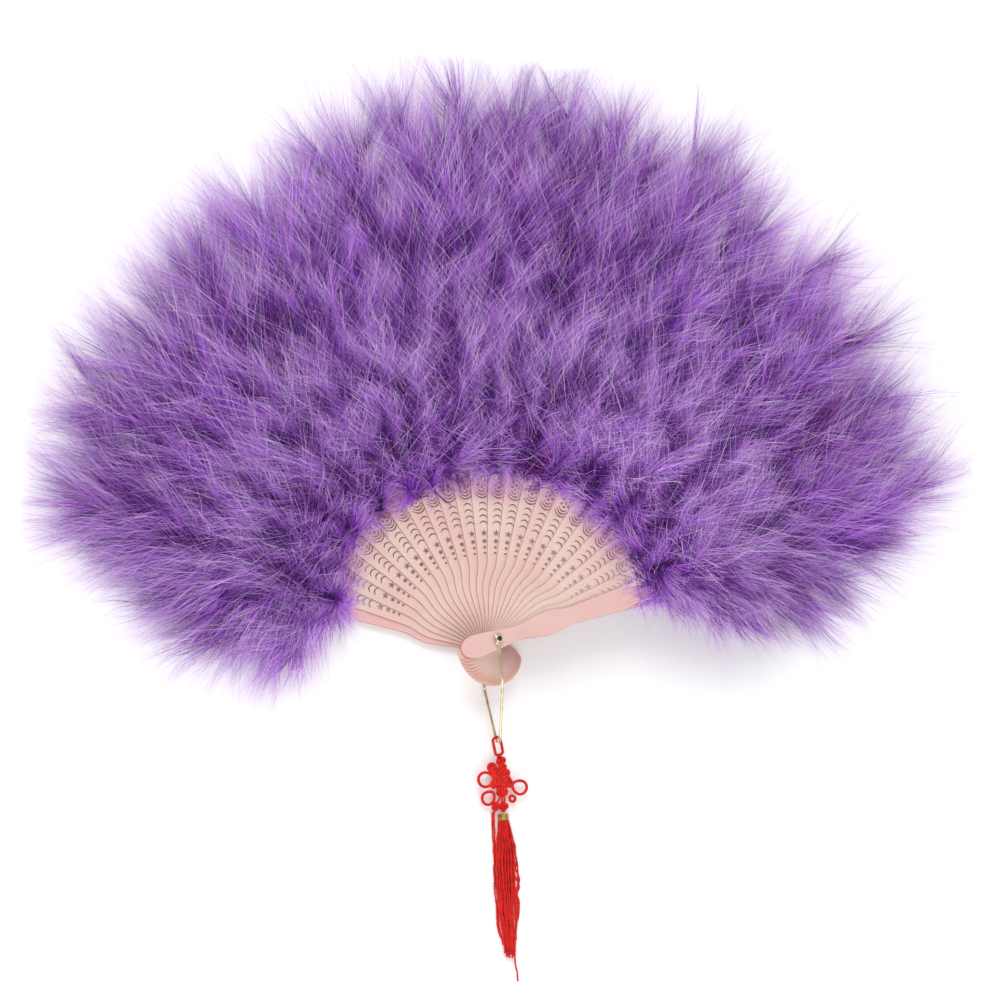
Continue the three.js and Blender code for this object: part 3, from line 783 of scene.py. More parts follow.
@dataclass
class Blades:
    """The sticks with their pierced pattern, and the two plain guards."""

    fan: FanFrame
    stick_width: float = 13.2 * MM
    stick_tail: float = 22.4 * MM
    stick_tail_width: float = 10.4 * MM
    guard_width: float = 15 * MM
    guard_tail: float = 20.8 * MM
    guard_tail_width: float = 12 * MM
    guard_step_at: float = 85 * MM
    guard_step: float = 0.5 * MM
    tongue_width: float = 4.4 * MM
    hole_radius: float = 1.5 * MM
    edge: float = 0.16 * MM
    edge_shares: Table = (
        (0.0, 0.66), (0.12, 0.5), (0.21, 0.68), (0.29, 0.84), (0.35, 0.8),
        (0.42, 0.62), (0.5, 0.64), (0.75, 0.82), (1.0, 1.0),
    )
    tail_shares: Table = ((1.0, 0.0), (0.965, 0.42), (0.86, 0.76), (0.66, 1.0), (0.4, 0.97))

    def outline(self, width: float, tail: float, tail_width: float) -> list[Point]:
        """A blade's outline in its own plane, with the rivet at the origin and the blade along +Y.

        Args:
            width: The blade's width.
            tail: The tail's length.
            tail_width: The tail's width.

        Returns:
            The closed outline, counter-clockwise.
        """
        length = self.fan.blade_length
        side = [(tail_width / 2 * across, -tail * along) for along, across in self.tail_shares]
        side += [(width / 2 * across, length * along) for along, across in self.edge_shares]
        right = [(point.x, point.y, 0.0) for point in curve_through(side, 4)]
        end = length + self.fan.tongue_length
        right += [(self.tongue_width / 2, length + 0.6 * MM, 0.0), (self.tongue_width / 2, end, 0.0)]
        left = [(-x, y, z) for x, y, z in reversed(right)]
        return [*right, *left[:-1]]

    def circle(self, at: float, radius: float, sides: int, across: float = 0.0) -> list[Point]:
        """A round hole on the blade's middle line, or beside it."""
        return [
            (across + radius * math.cos(turn), at + radius * math.sin(turn), 0.0) for turn in around(sides)
        ]

    def star(self, at: float, radius: float) -> list[Point]:
        """A five-pointed star."""
        reach = [radius, 0.4 * radius]
        turns = [math.radians(90 + 36 * step) for step in range(10)]
        return [
            (reach[step % 2] * math.cos(turn), at + reach[step % 2] * math.sin(turn), 0.0)
            for step, turn in enumerate(turns)
        ]

    def crescent(
        self, at: float, radius: float, sweep: float, facing: float, width: float, narrow: float = 1.0
    ) -> list[Point]:
        """A curved slit that thins towards its ends.

        Args:
            at: The distance of the arc's centre from the rivet.
            radius: The arc's radius.
            sweep: How far it sweeps, in degrees.
            facing: The angle at its middle, in degrees.
            width: Its width at the middle.
            narrow: How far the arc is drawn in across the stick.

        Returns:
            The slit's closed outline.
        """
        steps = 9
        sides: list[list[Point]] = []
        for turn in (1, -1):
            side = []
            for step in range(steps + 1):
                share = step / steps
                angle = math.radians(facing + turn * sweep * (share - 0.5))
                reach = radius + turn * width / 2 * (0.3 + 0.7 * math.sin(math.pi * share))
                side.append((narrow * reach * math.cos(angle), at + reach * math.sin(angle), 0.0))
            sides.append(side)
        return [*sides[0], *sides[1]]

    def piercing(self) -> list[list[Point]]:
        """The pattern's holes, outwards: three dots, a star, four crescents and a medallion."""
        length = self.fan.blade_length
        holes = [
            self.circle(length * at, radius, 12)
            for at, radius in ((0.495, 0.66 * MM), (0.526, 0.8 * MM), (0.56, 1.1 * MM))
        ]
        holes.append(self.star(length * 0.605, 2.0 * MM))
        for step in range(4):
            holes.append(self.crescent(length * (0.647 + 0.0347 * step), 2.2 * MM, 140, 90, 0.85 * MM))
        middle = length * 0.884
        for radius in (4.9 * MM, 6.6 * MM, 8.3 * MM):
            for facing in (-90, 90):
                holes.append(self.crescent(middle, radius, 96, facing, 0.95 * MM, 0.62))
        holes.append(self.circle(middle, 0.85 * MM, 10))
        for petal in range(6):
            turn = math.radians(60 * petal)
            at, across = middle + 2.5 * MM * math.cos(turn), 2.3 * MM * math.sin(turn)
            holes.append(self.circle(at, 0.75 * MM, 8, across))
        return holes

    def tree(self, material: Material) -> NodeTree:
        """A plate that fills the input's outlines, with a hole for each outline inside another."""
        growth = Growth("Plate")
        thickness = growth.size("Thickness", 1 * MM)
        curve = growth.geometry("MeshToCurve", growth.source())
        face = growth.geometry("FillCurve", curve, mode="NGONS")
        sockets = {"Offset": growth.together(0.0, 0.0, thickness), "Individual": False}
        walls = growth.geometry("ExtrudeMesh", face, sockets, mode="FACES")
        # Marks the side walls, which the plastic paints darker as painted shade.
        walls = growth.store(walls, "wall", walls.other(2), domain="FACE")
        under = growth.geometry("FlipFaces", face)
        whole = growth.geometry("JoinGeometry", [walls, under])
        closed = growth.geometry("MergeByDistance", whole, {"Distance": 0.002 * MM})
        return growth.finish(closed, material)

    def plate(self, tree: NodeTree, arm: Arm) -> Mesh:
        """One blade, lying along +Y with its underside at Z = 0."""
        low, high = arm.levels()
        hole = self.circle(0.0, self.hole_radius, 20)
        is_stick = arm.kind is Kind.STICK
        if is_stick:
            outline = self.outline(self.stick_width, self.stick_tail, self.stick_tail_width)
        else:
            outline = self.outline(self.guard_width, self.guard_tail, self.guard_tail_width)
        lines = [outline, hole, *(self.piercing() if is_stick else [])]
        mesh = outward(grown(tree, line_mesh(arm.blade, lines, is_closed=True), Thickness=high - low))
        if not is_stick:
            self.cut_step(mesh, high - low, arm.kind is Kind.FRONT_GUARD)
        return smooth(rounded(mesh, self.edge), 50)

    def marked(self, mesh: Mesh) -> Mesh:
        """Keeps where each point lies on a stick of its own, for the painted shade beside the tails."""
        places = [value for vertex in mesh.vertices for value in vertex.co]
        mesh.attributes.new("spot", "FLOAT_VECTOR", "POINT").data.foreach_set("vector", places)
        return mesh

    def cut_step(self, mesh: Mesh, thickness: float, is_upper: bool) -> None:
        """Lowers a guard's outer face past its step, where the feathers begin."""
        with edited(mesh) as work:
            for at in (self.guard_step_at, self.guard_step_at + 0.15 * MM):
                everything = [*work.verts, *work.edges, *work.faces]
                bmesh.ops.bisect_plane(work, geom=everything, plane_co=(0, at, 0), plane_no=(0, 1, 0))
            for vertex in work.verts:
                is_outer = vertex.co.z > thickness / 2 if is_upper else vertex.co.z < thickness / 2
                if is_outer and vertex.co.y > self.guard_step_at + 0.1 * MM:
                    vertex.co.z += -self.guard_step if is_upper else self.guard_step

    def build(self, stick_finish: Material, guard_finish: Material) -> None:
        """Makes every stick and both guards."""
        stick_tree, guard_tree = self.tree(stick_finish), self.tree(guard_finish)
        pattern: Mesh | None = None
        for arm in self.fan.arms():
            if arm.kind is Kind.STICK:
                pattern = pattern or self.marked(self.plate(stick_tree, arm))
                mesh = pattern.copy()
            else:
                mesh = self.plate(guard_tree, arm)
            mesh.transform(arm.placed())
            piece(f"{arm.blade}_blade", mesh, arm.body, "plastic", arm.blade)


@dataclass(frozen=True)
class Quill:
    """One feather: where it starts and ends, to which side it spreads and how its barbs are."""

    root: float
    aside: float
    reach: float
    spread: float
    lift: float
    barb: float
    splay: float
    tone: float
    pale: float
    fringe: float


@dataclass(frozen=True)
class BarbForm:
    """How a barb leaves its quill and what form it has; ranges are shares of its own size or radians."""

    width: float = 0.46 * MM
    steps: int = 4
    taper: float = 0.85
    opening: float = 0.42
    stray_angle: float = 0.5
    root_angles: tuple[float, float] = (-0.35, 0.9)
    leans: tuple[float, float] = (-0.3, 0.75)
    lengths: tuple[float, float] = (0.72, 1.05)
    widths: tuple[float, float] = (0.7, 1.35)
    droops: tuple[float, float] = (-0.5, 0.05)
    bend_back: float = 0.38
    twist: float = 0.8
    straying: float = 0.35
    fine_from: float = 0.55
    stray_from: float = 0.965


@dataclass(frozen=True)
class Tint:
    """How much each thing makes a barb paler, painted shade and painted highlight among them."""

    base: float = 0.11
    quill: float = 0.8
    patch: float = 0.7
    tuft: float = 0.85
    lock: float = 0.4
    # Painted shade: barbs that lean down are darker, those that rise are paler.
    lean: float = 0.25
    grain: float = 0.12
    # Fine and stray barbs are paler, partly their own colour and partly painted highlight on single strands.
    fine: float = 0.4
    stray: float = 0.6
    tip: float = 0.1
    root: float = 0.26


@dataclass
class Plumage:
    """The down feathers of every arm, as quills with thousands of barbs."""

    fan: FanFrame
    form: BarbForm = BarbForm()
    tint: Tint = Tint()
    reach_middle: float = 322 * MM
    reach_side: float = 240 * MM
    middle_angle: float = 66.0
    side_angle: float = 95.0
    edge: Table = (
        (20.0, 2 * MM), (34.0, 5 * MM), (48.0, 14 * MM), (64.0, 15 * MM), (78.0, 27 * MM), (87.0, 14 * MM),
        (98.0, 26 * MM), (111.0, 9 * MM), (136.0, 9 * MM), (147.0, 18 * MM), (163.0, 13 * MM),
    )
    side_limits: tuple[float, float] = (22.0, 163.0)
    side_spread: float = 46.0
    root: float = 99 * MM
    inner_root: float = 84 * MM
    shortest: float = 14 * MM
    guard_overlap: float = 12 * MM
    spacing: float = 0.17 * MM
    shaft_radius: float = 0.34 * MM
    patch: float = 32 * MM
    tuft: float = 20 * MM
    tuft_sway: float = 7 * MM
    curl_size: float = 15 * MM
    curl: float = 2.5 * MM
    lock: float = 5 * MM
    # Painted shade in the gaps between tufts: how large they are and how dark.
    painted_gap_size: float = 10.5 * MM
    painted_gap_depth: float = 0.64
    floor: float = 0.4 * MM
    ceiling: float = 48.6 * MM
    floor_depth: float = 3 * MM
    ceiling_depth: float = 5 * MM
    blade_depth: float = 2 * MM
    blades_end: float = 108 * MM
    furthest: Point = (-245 * MM, 288 * MM, 329 * MM)
    held_back: float = 0.88
    known: tuple[str, ...] = ("along", "barb", "run", "splay", "tone", "pale")
    seen: tuple[str, ...] = ("fibre", "across", "shade", "light", "hidden")
    seed: int = 4723

    def reach(self, angle: float) -> float:
        """How far the dense down reaches from the rivet at an angle of the open fan."""
        away = abs(angle - self.middle_angle) / self.side_angle
        reach = self.reach_middle - (self.reach_middle - self.reach_side) * away**1.4
        return reach + between(self.edge, angle)

    def held(self, angle: float, spread: float, share: float) -> float:
        """A quill's spread, held in so that the fan narrows at both sides, and less so if it is short."""
        more = self.side_spread * (1 - share)
        low, high = self.side_limits[0] - more - angle, self.side_limits[1] + more - angle
        return min(max(spread, low), high)

    def tiers(self, kind: Kind) -> list[tuple[float, ...]]:
        """One arm's feathers: shares of its reach, spreads, lifts and barb lengths in mm, root splays."""
        tiers = [(1.0, -6.0, 3.0, 40.0, 60), (0.99, 1.5, 5.0, 42.0, 60), (0.95, 7.0, 4.0, 40.0, 60)]
        tiers += [(0.9, -2.0, 7.0, 40.0, 60), (0.8, 5.0, 10.0, 40.0, 60), (0.72, -5.0, 13.0, 38.0, 60)]
        tiers += [(0.64, 2.0, 14.0, 36.0, 55), (0.55, -3.5, 14.0, 34.0, 50), (0.47, 3.0, 13.0, 30.0, 50)]
        if kind is Kind.REAR_GUARD:
            tiers += [(0.86, 6.0, 8.0, 38.0, 70), (0.8, 9.0, 6.0, 38.0, 75), (0.74, 12.0, 9.0, 38.0, 80)]
            tiers += [(0.68, 15.0, 6.0, 36.0, 80), (0.63, 18.0, 9.0, 33.0, 80), (0.58, 20.0, 6.0, 30.0, 85)]
            tiers += [(0.54, 23.0, 9.0, 26.0, 90), (0.5, 25.0, 6.0, 23.0, 90), (0.5, 17.0, 8.0, 25.0, 100)]
        if kind is Kind.FRONT_GUARD:
            tiers += [(0.92, -6.0, 4.0, 38.0, 70), (0.84, -9.0, 4.0, 38.0, 75), (0.76, -12.0, 4.0, 36.0, 80)]
            tiers += [(0.69, -13.0, 3.0, 30.0, 75), (0.6, -14.0, 3.0, 26.0, 85), (0.52, -12.0, 3.0, 22.0, 95)]
        return tiers

    def quills(self, arm: Arm, chance: random.Random) -> list[Quill]:
        """The feathers of one arm, from the longest to the shortest, with more at the fan's ends."""
        reach = self.reach(arm.angle)
        plain = len(self.tiers(Kind.STICK))
        paler = 0.0 if arm.kind is Kind.FRONT_GUARD else 0.16
        made = []
        for number, (share, spread, lift, barb, splay) in enumerate(self.tiers(arm.kind)):
            is_long, is_extra = share > 0.85, number >= plain
            root = self.root if share > 0.6 else chance.uniform(self.inner_root, self.root)
            root -= 0 if arm.kind is Kind.STICK else chance.uniform(0, self.guard_overlap)
            end = reach * share * chance.uniform(0.95, 1.01) - 0.72 * barb * MM
            made.append(
                Quill(
                    root=root,
                    aside=chance.uniform(-2.2, 2.2),
                    reach=max(end, root + self.shortest),
                    spread=self.held(arm.angle, spread + chance.uniform(-2.6, 2.6), share),
                    lift=lift * MM * chance.uniform(0.7, 1.3),
                    barb=barb * MM * chance.uniform(0.9, 1.1),
                    splay=math.radians(splay),
                    tone=chance.uniform(0.02, 0.94) + (0.0 if is_long else paler),
                    pale=1.0 if is_long or is_extra else 0.35,
                    fringe=0.8 if is_extra else 0.0,
                )
            )
        return made

    def line(self, arm: Arm, quill: Quill, chance: random.Random) -> list[Vector]:
        """The path of one quill, from the stick's tongue to its tip."""
        low, high = arm.levels()
        middle = (low + high) / 2
        wave, turn = chance.uniform(0.8, 2.4), chance.uniform(0, 2 * math.pi)
        steps = 16
        points = []
        for step in range(steps + 1):
            share = step / steps
            distance = quill.root + (quill.reach - quill.root) * share
            bearing = arm.angle + quill.spread * share**0.8 + quill.aside * (1 - share)
            bearing += wave * share * math.sin(2.4 * math.pi * share + turn)
            rise = quill.lift * smoothstep(share, 0, 0.3) * (1 - 0.45 * share)
            height = middle - self.fan.droop(distance, bearing) + rise
            points.append(polar(distance, bearing, max(2 * self.floor, height)))
        return points

    def source(self, arm: Arm) -> Mesh:
        """The bare quills of one arm, with what their barbs need to know at each point."""
        chance = random.Random(f"{self.seed} {arm.spray}")
        lines, known = [], []
        for quill in self.quills(arm, chance):
            points = self.line(arm, quill, chance)
            lines.append(points)
            for index in range(len(points)):
                share = index / (len(points) - 1)
                barb = quill.barb * max(quill.fringe, 0.55 + 0.45 * smoothstep(share, 0.0, 0.3))
                pale = quill.pale * max(quill.fringe, smoothstep(share, 0.6, 1.0))
                run = share * (quill.reach - quill.root)
                known.append((share, barb, run, quill.splay, quill.tone, pale))
        mesh = line_mesh(arm.spray, lines)
        for name, values in zip(self.known, zip(*known)):
            mesh.attributes.new(name, "FLOAT", "POINT").data.foreach_set("value", values)
        return mesh

    def ribbon(self, growth: Growth) -> Wire:
        """One barb, of unit length and width along X, that thins to its tip."""
        sockets = {0: 1.0, 1: 1.0, 2: self.form.steps + 1, 3: 2}
        flat = growth.node("GeometryNodeMeshGrid", sockets=sockets)
        x, y, _ = growth.apart(growth.place())
        marked = growth.store(growth.store(flat, "fibre", x + 0.5), "across", y)
        fibre, across = growth.attributes("fibre", "across")
        thinned = growth.together(fibre, across * (1.0 - self.form.taper * fibre**1.6), 0.0)
        return growth.geometry("SetPosition", marked, {"Position": thinned})

    def barbs(self, growth: Growth, curve: Wire) -> Wire:
        """Straight barbs along every quill, to both sides and in locks, that know how to bend."""
        form, tint = self.form, self.tint
        spacing = growth.size("Barb Spacing", self.spacing)
        width = growth.size("Barb Width", form.width)
        lock = growth.size("Lock Length", self.lock)
        points = growth.node("GeometryNodeCurveToPoints", {"mode": "LENGTH"}, {0: curve, 2: spacing})
        tangent, place, upward = points.other(1), growth.place(), (0.0, 0.0, 1.0)
        along, barb, run, splay, tone, pale = growth.attributes(*self.known)
        near_root = 1.0 - along
        aside = growth.sum("NORMALIZE", growth.sum("CROSS_PRODUCT", tangent, upward))
        side = growth.sum("SIGN", growth.random(-1.0, 1.0, 1))
        sway_x, sway_y, sway_z = growth.apart(growth.sway(place + aside * side * 0.3, self.tuft))
        place_in_locks = run / lock + side * 0.25 + growth.random(-form.straying, form.straying, 12)
        number = growth.sum("ROUND", place_in_locks)
        own_x, own_y, own_z = growth.apart(growth.scatter(growth.together(number, side, tone * 100.0)))
        kind = growth.random(0.0, 1.0, 4)
        fine = growth.remap(kind, form.fine_from, form.fine_from + 0.01)
        stray = growth.remap(kind, form.stray_from, form.stray_from + 0.005)
        loose = 0.2 + fine * 0.3 + stray * 0.9

        own_angle = growth.random(-form.stray_angle, form.stray_angle, 2)
        opening = form.opening + (splay - form.opening) * near_root**1.5 + sway_x
        opening = opening + (own_x * 0.6 + own_angle * loose) * (1.0 - pale * 0.3)
        opening = opening + near_root**2 * (own_x * 0.8 + growth.random(*form.root_angles, 14))
        lean = sway_y * 0.7 + own_y * 0.55 + growth.random(*form.leans, 3)
        rising = growth.together(0.0, 0.0, growth.sum("SINE", lean))
        outward_way = aside * (side * growth.sum("COSINE", lean)) + rising
        sine = growth.sum("SINE", opening)
        direction = tangent * growth.sum("COSINE", opening) + outward_way * sine

        longer = fine * (0.18 + pale * 0.3) + stray * 0.3
        length = barb * growth.random(*form.lengths, 5) * (1.0 + own_z * 0.18) * (1.0 + longer)
        wide = width * growth.random(*form.widths, 6) * (1.0 - fine * 0.56) * (1.0 - pale * 0.4)
        facing = growth.sum("CROSS_PRODUCT", upward, direction) + growth.random_vector(7) * form.twist
        axes = {"primary_axis": "X", "secondary_axis": "Y"}
        turn = growth.node("FunctionNodeAxesToRotation", axes, {0: direction, 1: facing})
        droop = growth.together(0.0, 0.0, growth.random(*form.droops, 8))
        gather = tangent * ((number - place_in_locks) * lock * (0.9 - fine * 0.5 - stray * 0.4))
        bend = tangent * (sine * form.bend_back) + droop + growth.random_vector(9) * (loose * 0.2)

        patch, _, _ = growth.apart(growth.sway(place, self.patch))
        # The lean term is painted shade: low-lying barbs darker, raised ones paler.
        shade = tone * tint.quill + patch * tint.patch + sway_z * tint.tuft + own_x * tint.lock
        shade = shade + lean * tint.lean + growth.random(-tint.grain, tint.grain, 10)
        # Fine and stray barbs get paler, partly as painted highlight along single strands.
        shade = shade + fine * growth.random(0.0, tint.fine, 13) + stray * tint.stray
        shade = shade + pale * tint.tip + tint.base + near_root**3 * tint.root
        exposed = fine * growth.random(0.2, 1.0, 15) + stray + pale * 0.9
        marked = growth.store(points, "bend", bend * length + gather, "FLOAT_VECTOR")
        marked = growth.store(marked, "own", growth.random_vector(11), "FLOAT_VECTOR")
        marked = growth.store(marked, "shade", growth.remap(shade, 0.0, 1.1, 0.01, 0.98))
        # Stray barbs are paler along their length: partly painted highlight.
        marked = growth.store(marked, "light", pale + stray * 1.6 + near_root**3 * 0.6)
        marked = growth.store(marked, "hidden", growth.sum("MAXIMUM", 0.0, 1.0 - exposed))
        sockets = {2: self.ribbon(growth), 5: turn, 6: growth.together(length, wide, 1.0)}
        return growth.geometry("RealizeInstances", growth.geometry("InstanceOnPoints", marked, sockets))

    def settled(self, growth: Growth, barbs: Wire) -> Wire:
        """The barbs bent and curled, over the table and the sticks and inside the part's reach."""
        tuft = growth.size("Tuft Sway", self.tuft_sway)
        curl = growth.size("Curl", self.curl)
        floor = growth.size("Floor Level", self.floor)
        ceiling = growth.size("Ceiling Level", self.ceiling)
        place, fibre = growth.place(), growth.attribute("fibre")
        own, bend = growth.attribute("own", "FLOAT_VECTOR"), growth.attribute("bend", "FLOAT_VECTOR")
        curls = growth.sway(place + own * (2 * MM), self.curl_size) * (fibre * curl)
        tufts = growth.sway(place, self.tuft) * (fibre * tuft)
        x, y, z = growth.apart(place + bend * (fibre**1.7) + curls + tufts)

        left, right, top = self.furthest
        past_right, past_left, past_top = (
            growth.sum("MAXIMUM", 0.0, past) * self.held_back for past in (x - right, left - x, y - top)
        )
        x, y = x - past_right + past_left, y - past_top
        depth = growth.sum("ABSOLUTE", growth.apart(own)[0])
        over = self.over_sticks(growth, x, y) + depth * self.blade_depth
        lowest = growth.sum("MAXIMUM", floor + depth * self.floor_depth, over)
        highest = ceiling - depth * self.ceiling_depth
        level = growth.sum("MINIMUM", growth.sum("MAXIMUM", z, lowest), highest)
        return growth.geometry("SetPosition", barbs, {"Position": growth.together(x, y, level)})

    def over_sticks(self, growth: Growth, x: Wire, y: Wire) -> Wire:
        """The level of the sticks' upper face at a place, or 0 past the sticks and beside them."""
        fan, last = self.fan, float(self.fan.stick_count + 1)
        angle = growth.sum("ARCTAN2", 0.0 - x, y) * (180 / math.pi) + 90.0
        steps = growth.remap(angle, fan.front_guard_angle, fan.first_stick_angle, last, 1.0)
        level = fan.first_stick_level + steps * fan.stick_pitch
        distance = growth.length(growth.together(x, y, 0.0))
        return level * growth.remap(distance, fan.blade_length, self.blades_end, 1.0, 0.0)

    def shaft(self, growth: Growth, curve: Wire) -> Wire:
        """The quill itself, a thin tube along the curve that the barbs stand on."""
        along = growth.attribute("along")
        profile = growth.store(growth.circle(3, self.shaft_radius), "across", growth.parameter())
        marked = growth.store(growth.store(curve, "fibre", along * 0.15), "shade", 0.3)
        return growth.geometry("CurveToMesh", marked, {1: profile, 2: 1.0 - along * 0.8})

    def spot(self, growth: Growth) -> Wire:
        """A point's place on the map: its barb's shade and how far along it is, both less in the painted
        shade of the gaps between tufts.
        """
        x, y, _ = growth.apart(growth.place())
        distance = growth.length(growth.together(x, y, 0.0))
        bearing = growth.together(x / distance * 0.2, y / distance * 0.2, distance * 0.45)
        painted_gaps, _, _ = growth.apart(growth.sway(bearing, self.painted_gap_size))
        fibre, across, shade, light, hidden = growth.attributes(*self.seen)
        # Painted shade: barbs are darkened where the noise marks gaps, less so fine and stray barbs and pale
        # tips that lie on top.
        seen = 1.0 - growth.remap(painted_gaps, -0.16, -0.03, self.painted_gap_depth, 0.0) * hidden
        paler = (fibre + light * (0.3 - fibre * 0.16)) * seen
        return growth.together(shade * seen + across * 0.008, growth.sum("MINIMUM", paler, 0.995), 0.0)

    def tree(self, material: Material) -> NodeTree:
        """Barbs and a shaft along every line of the input."""
        growth = Growth("Plumes")
        curve = growth.geometry("MeshToCurve", growth.source())
        barbs = self.settled(growth, self.barbs(growth, curve))
        whole = growth.geometry("JoinGeometry", [barbs, self.shaft(growth, curve)])
        spot = self.spot(growth)
        for name in ("OFBake", "strand"):
            whole = growth.store(whole, name, spot, "FLOAT2", "CORNER")
        return growth.finish(whole, material)

    def build(self, finish: Material) -> None:
        """Makes the feathers of every arm."""
        tree = self.tree(finish)
        for arm in self.fan.arms():
            mesh = grown(tree, self.source(arm))
            clear(mesh, *self.known, "bend", "own", *self.seen)
            mesh.shade_smooth()
            piece(f"{arm.spray}_down", mesh, arm.body, "feather", arm.spray)


@dataclass
class Strands:
    """Twisted cord and thread: plies that wind round each other along any path."""

    material: Material
    name: str
    plies: int
    sides: int
    tree: NodeTree = field(init=False)

    def __post_init__(self) -> None:
        """Builds the tree."""
        growth = Growth(self.name)
        radius = growth.size("Radius", 0.85 * MM)
        spacing = growth.size("Spacing", 0.5 * MM)
        pitch = growth.size("Pitch", 4 * MM)
        crimp = growth.size("Crimp", 0.0)
        curve = growth.geometry("MeshToCurve", growth.source())
        curve = growth.geometry("CurveSplineType", curve, spline_type="CATMULL_ROM")
        curve = growth.geometry("ResampleCurve", curve, {"Length": spacing}, mode="LENGTH")
        parameter = growth.parameter()
        place = growth.place()
        waves = growth.sway(place, 7 * MM) * (crimp * growth.remap(parameter, 0.0, 0.15))
        curve = growth.geometry("SetPosition", curve, {"Offset": waves})
        full = growth.node("GeometryNodeSplineLength")
        turns = growth.sum("ROUND", full / pitch) * (2 * math.pi)
        normal = growth.node("GeometryNodeInputNormal")
        tangent = growth.node("GeometryNodeInputTangent")
        across = growth.sum("CROSS_PRODUCT", tangent, normal)
        share, tightness = 0.0 if self.plies == 1 else 0.5, 0.92
        profile = growth.circle(self.sides, radius * (1 - share * tightness))
        profile = growth.store(profile, "around", parameter)
        made = []
        for ply in range(self.plies):
            angle = parameter * turns + 2 * math.pi * ply / self.plies
            away = normal * growth.sum("COSINE", angle) + across * growth.sum("SINE", angle)
            moved = growth.geometry("SetPosition", curve, {"Offset": away * (radius * share)})
            moved = growth.store(moved, "run", parameter.other(1) * 1000.0)
            made.append(growth.geometry("CurveToMesh", moved, {1: profile, 3: True}))
        whole = growth.geometry("JoinGeometry", made)
        spot = growth.together(*growth.attributes("around", "run"), 0.0)
        whole = growth.store(whole, "ply", spot, "FLOAT2", "CORNER")
        self.tree = growth.finish(whole, self.material)

    def along(
        self,
        name: str,
        lines: Iterable[Sequence[Point]],
        place: Matrix,
        is_closed: bool = False,
        **sizes: float,
    ) -> Mesh:
        """Cord along lines.

        Args:
            name: The mesh's name.
            lines: Rows of points in millimetres.
            place: Where the lines' own frame stands.
            is_closed: Whether each line ends where it began.
            sizes: Sizes by the names of the tree's inputs, with _ for a space.

        Returns:
            The cord's mesh.
        """
        source = line_mesh(name, [[Vector(point) * MM for point in line] for line in lines], is_closed)
        source.transform(place)
        mesh = grown(self.tree, source, **sizes)
        clear(mesh, "around", "run")
        mesh.shade_smooth()
        return mesh


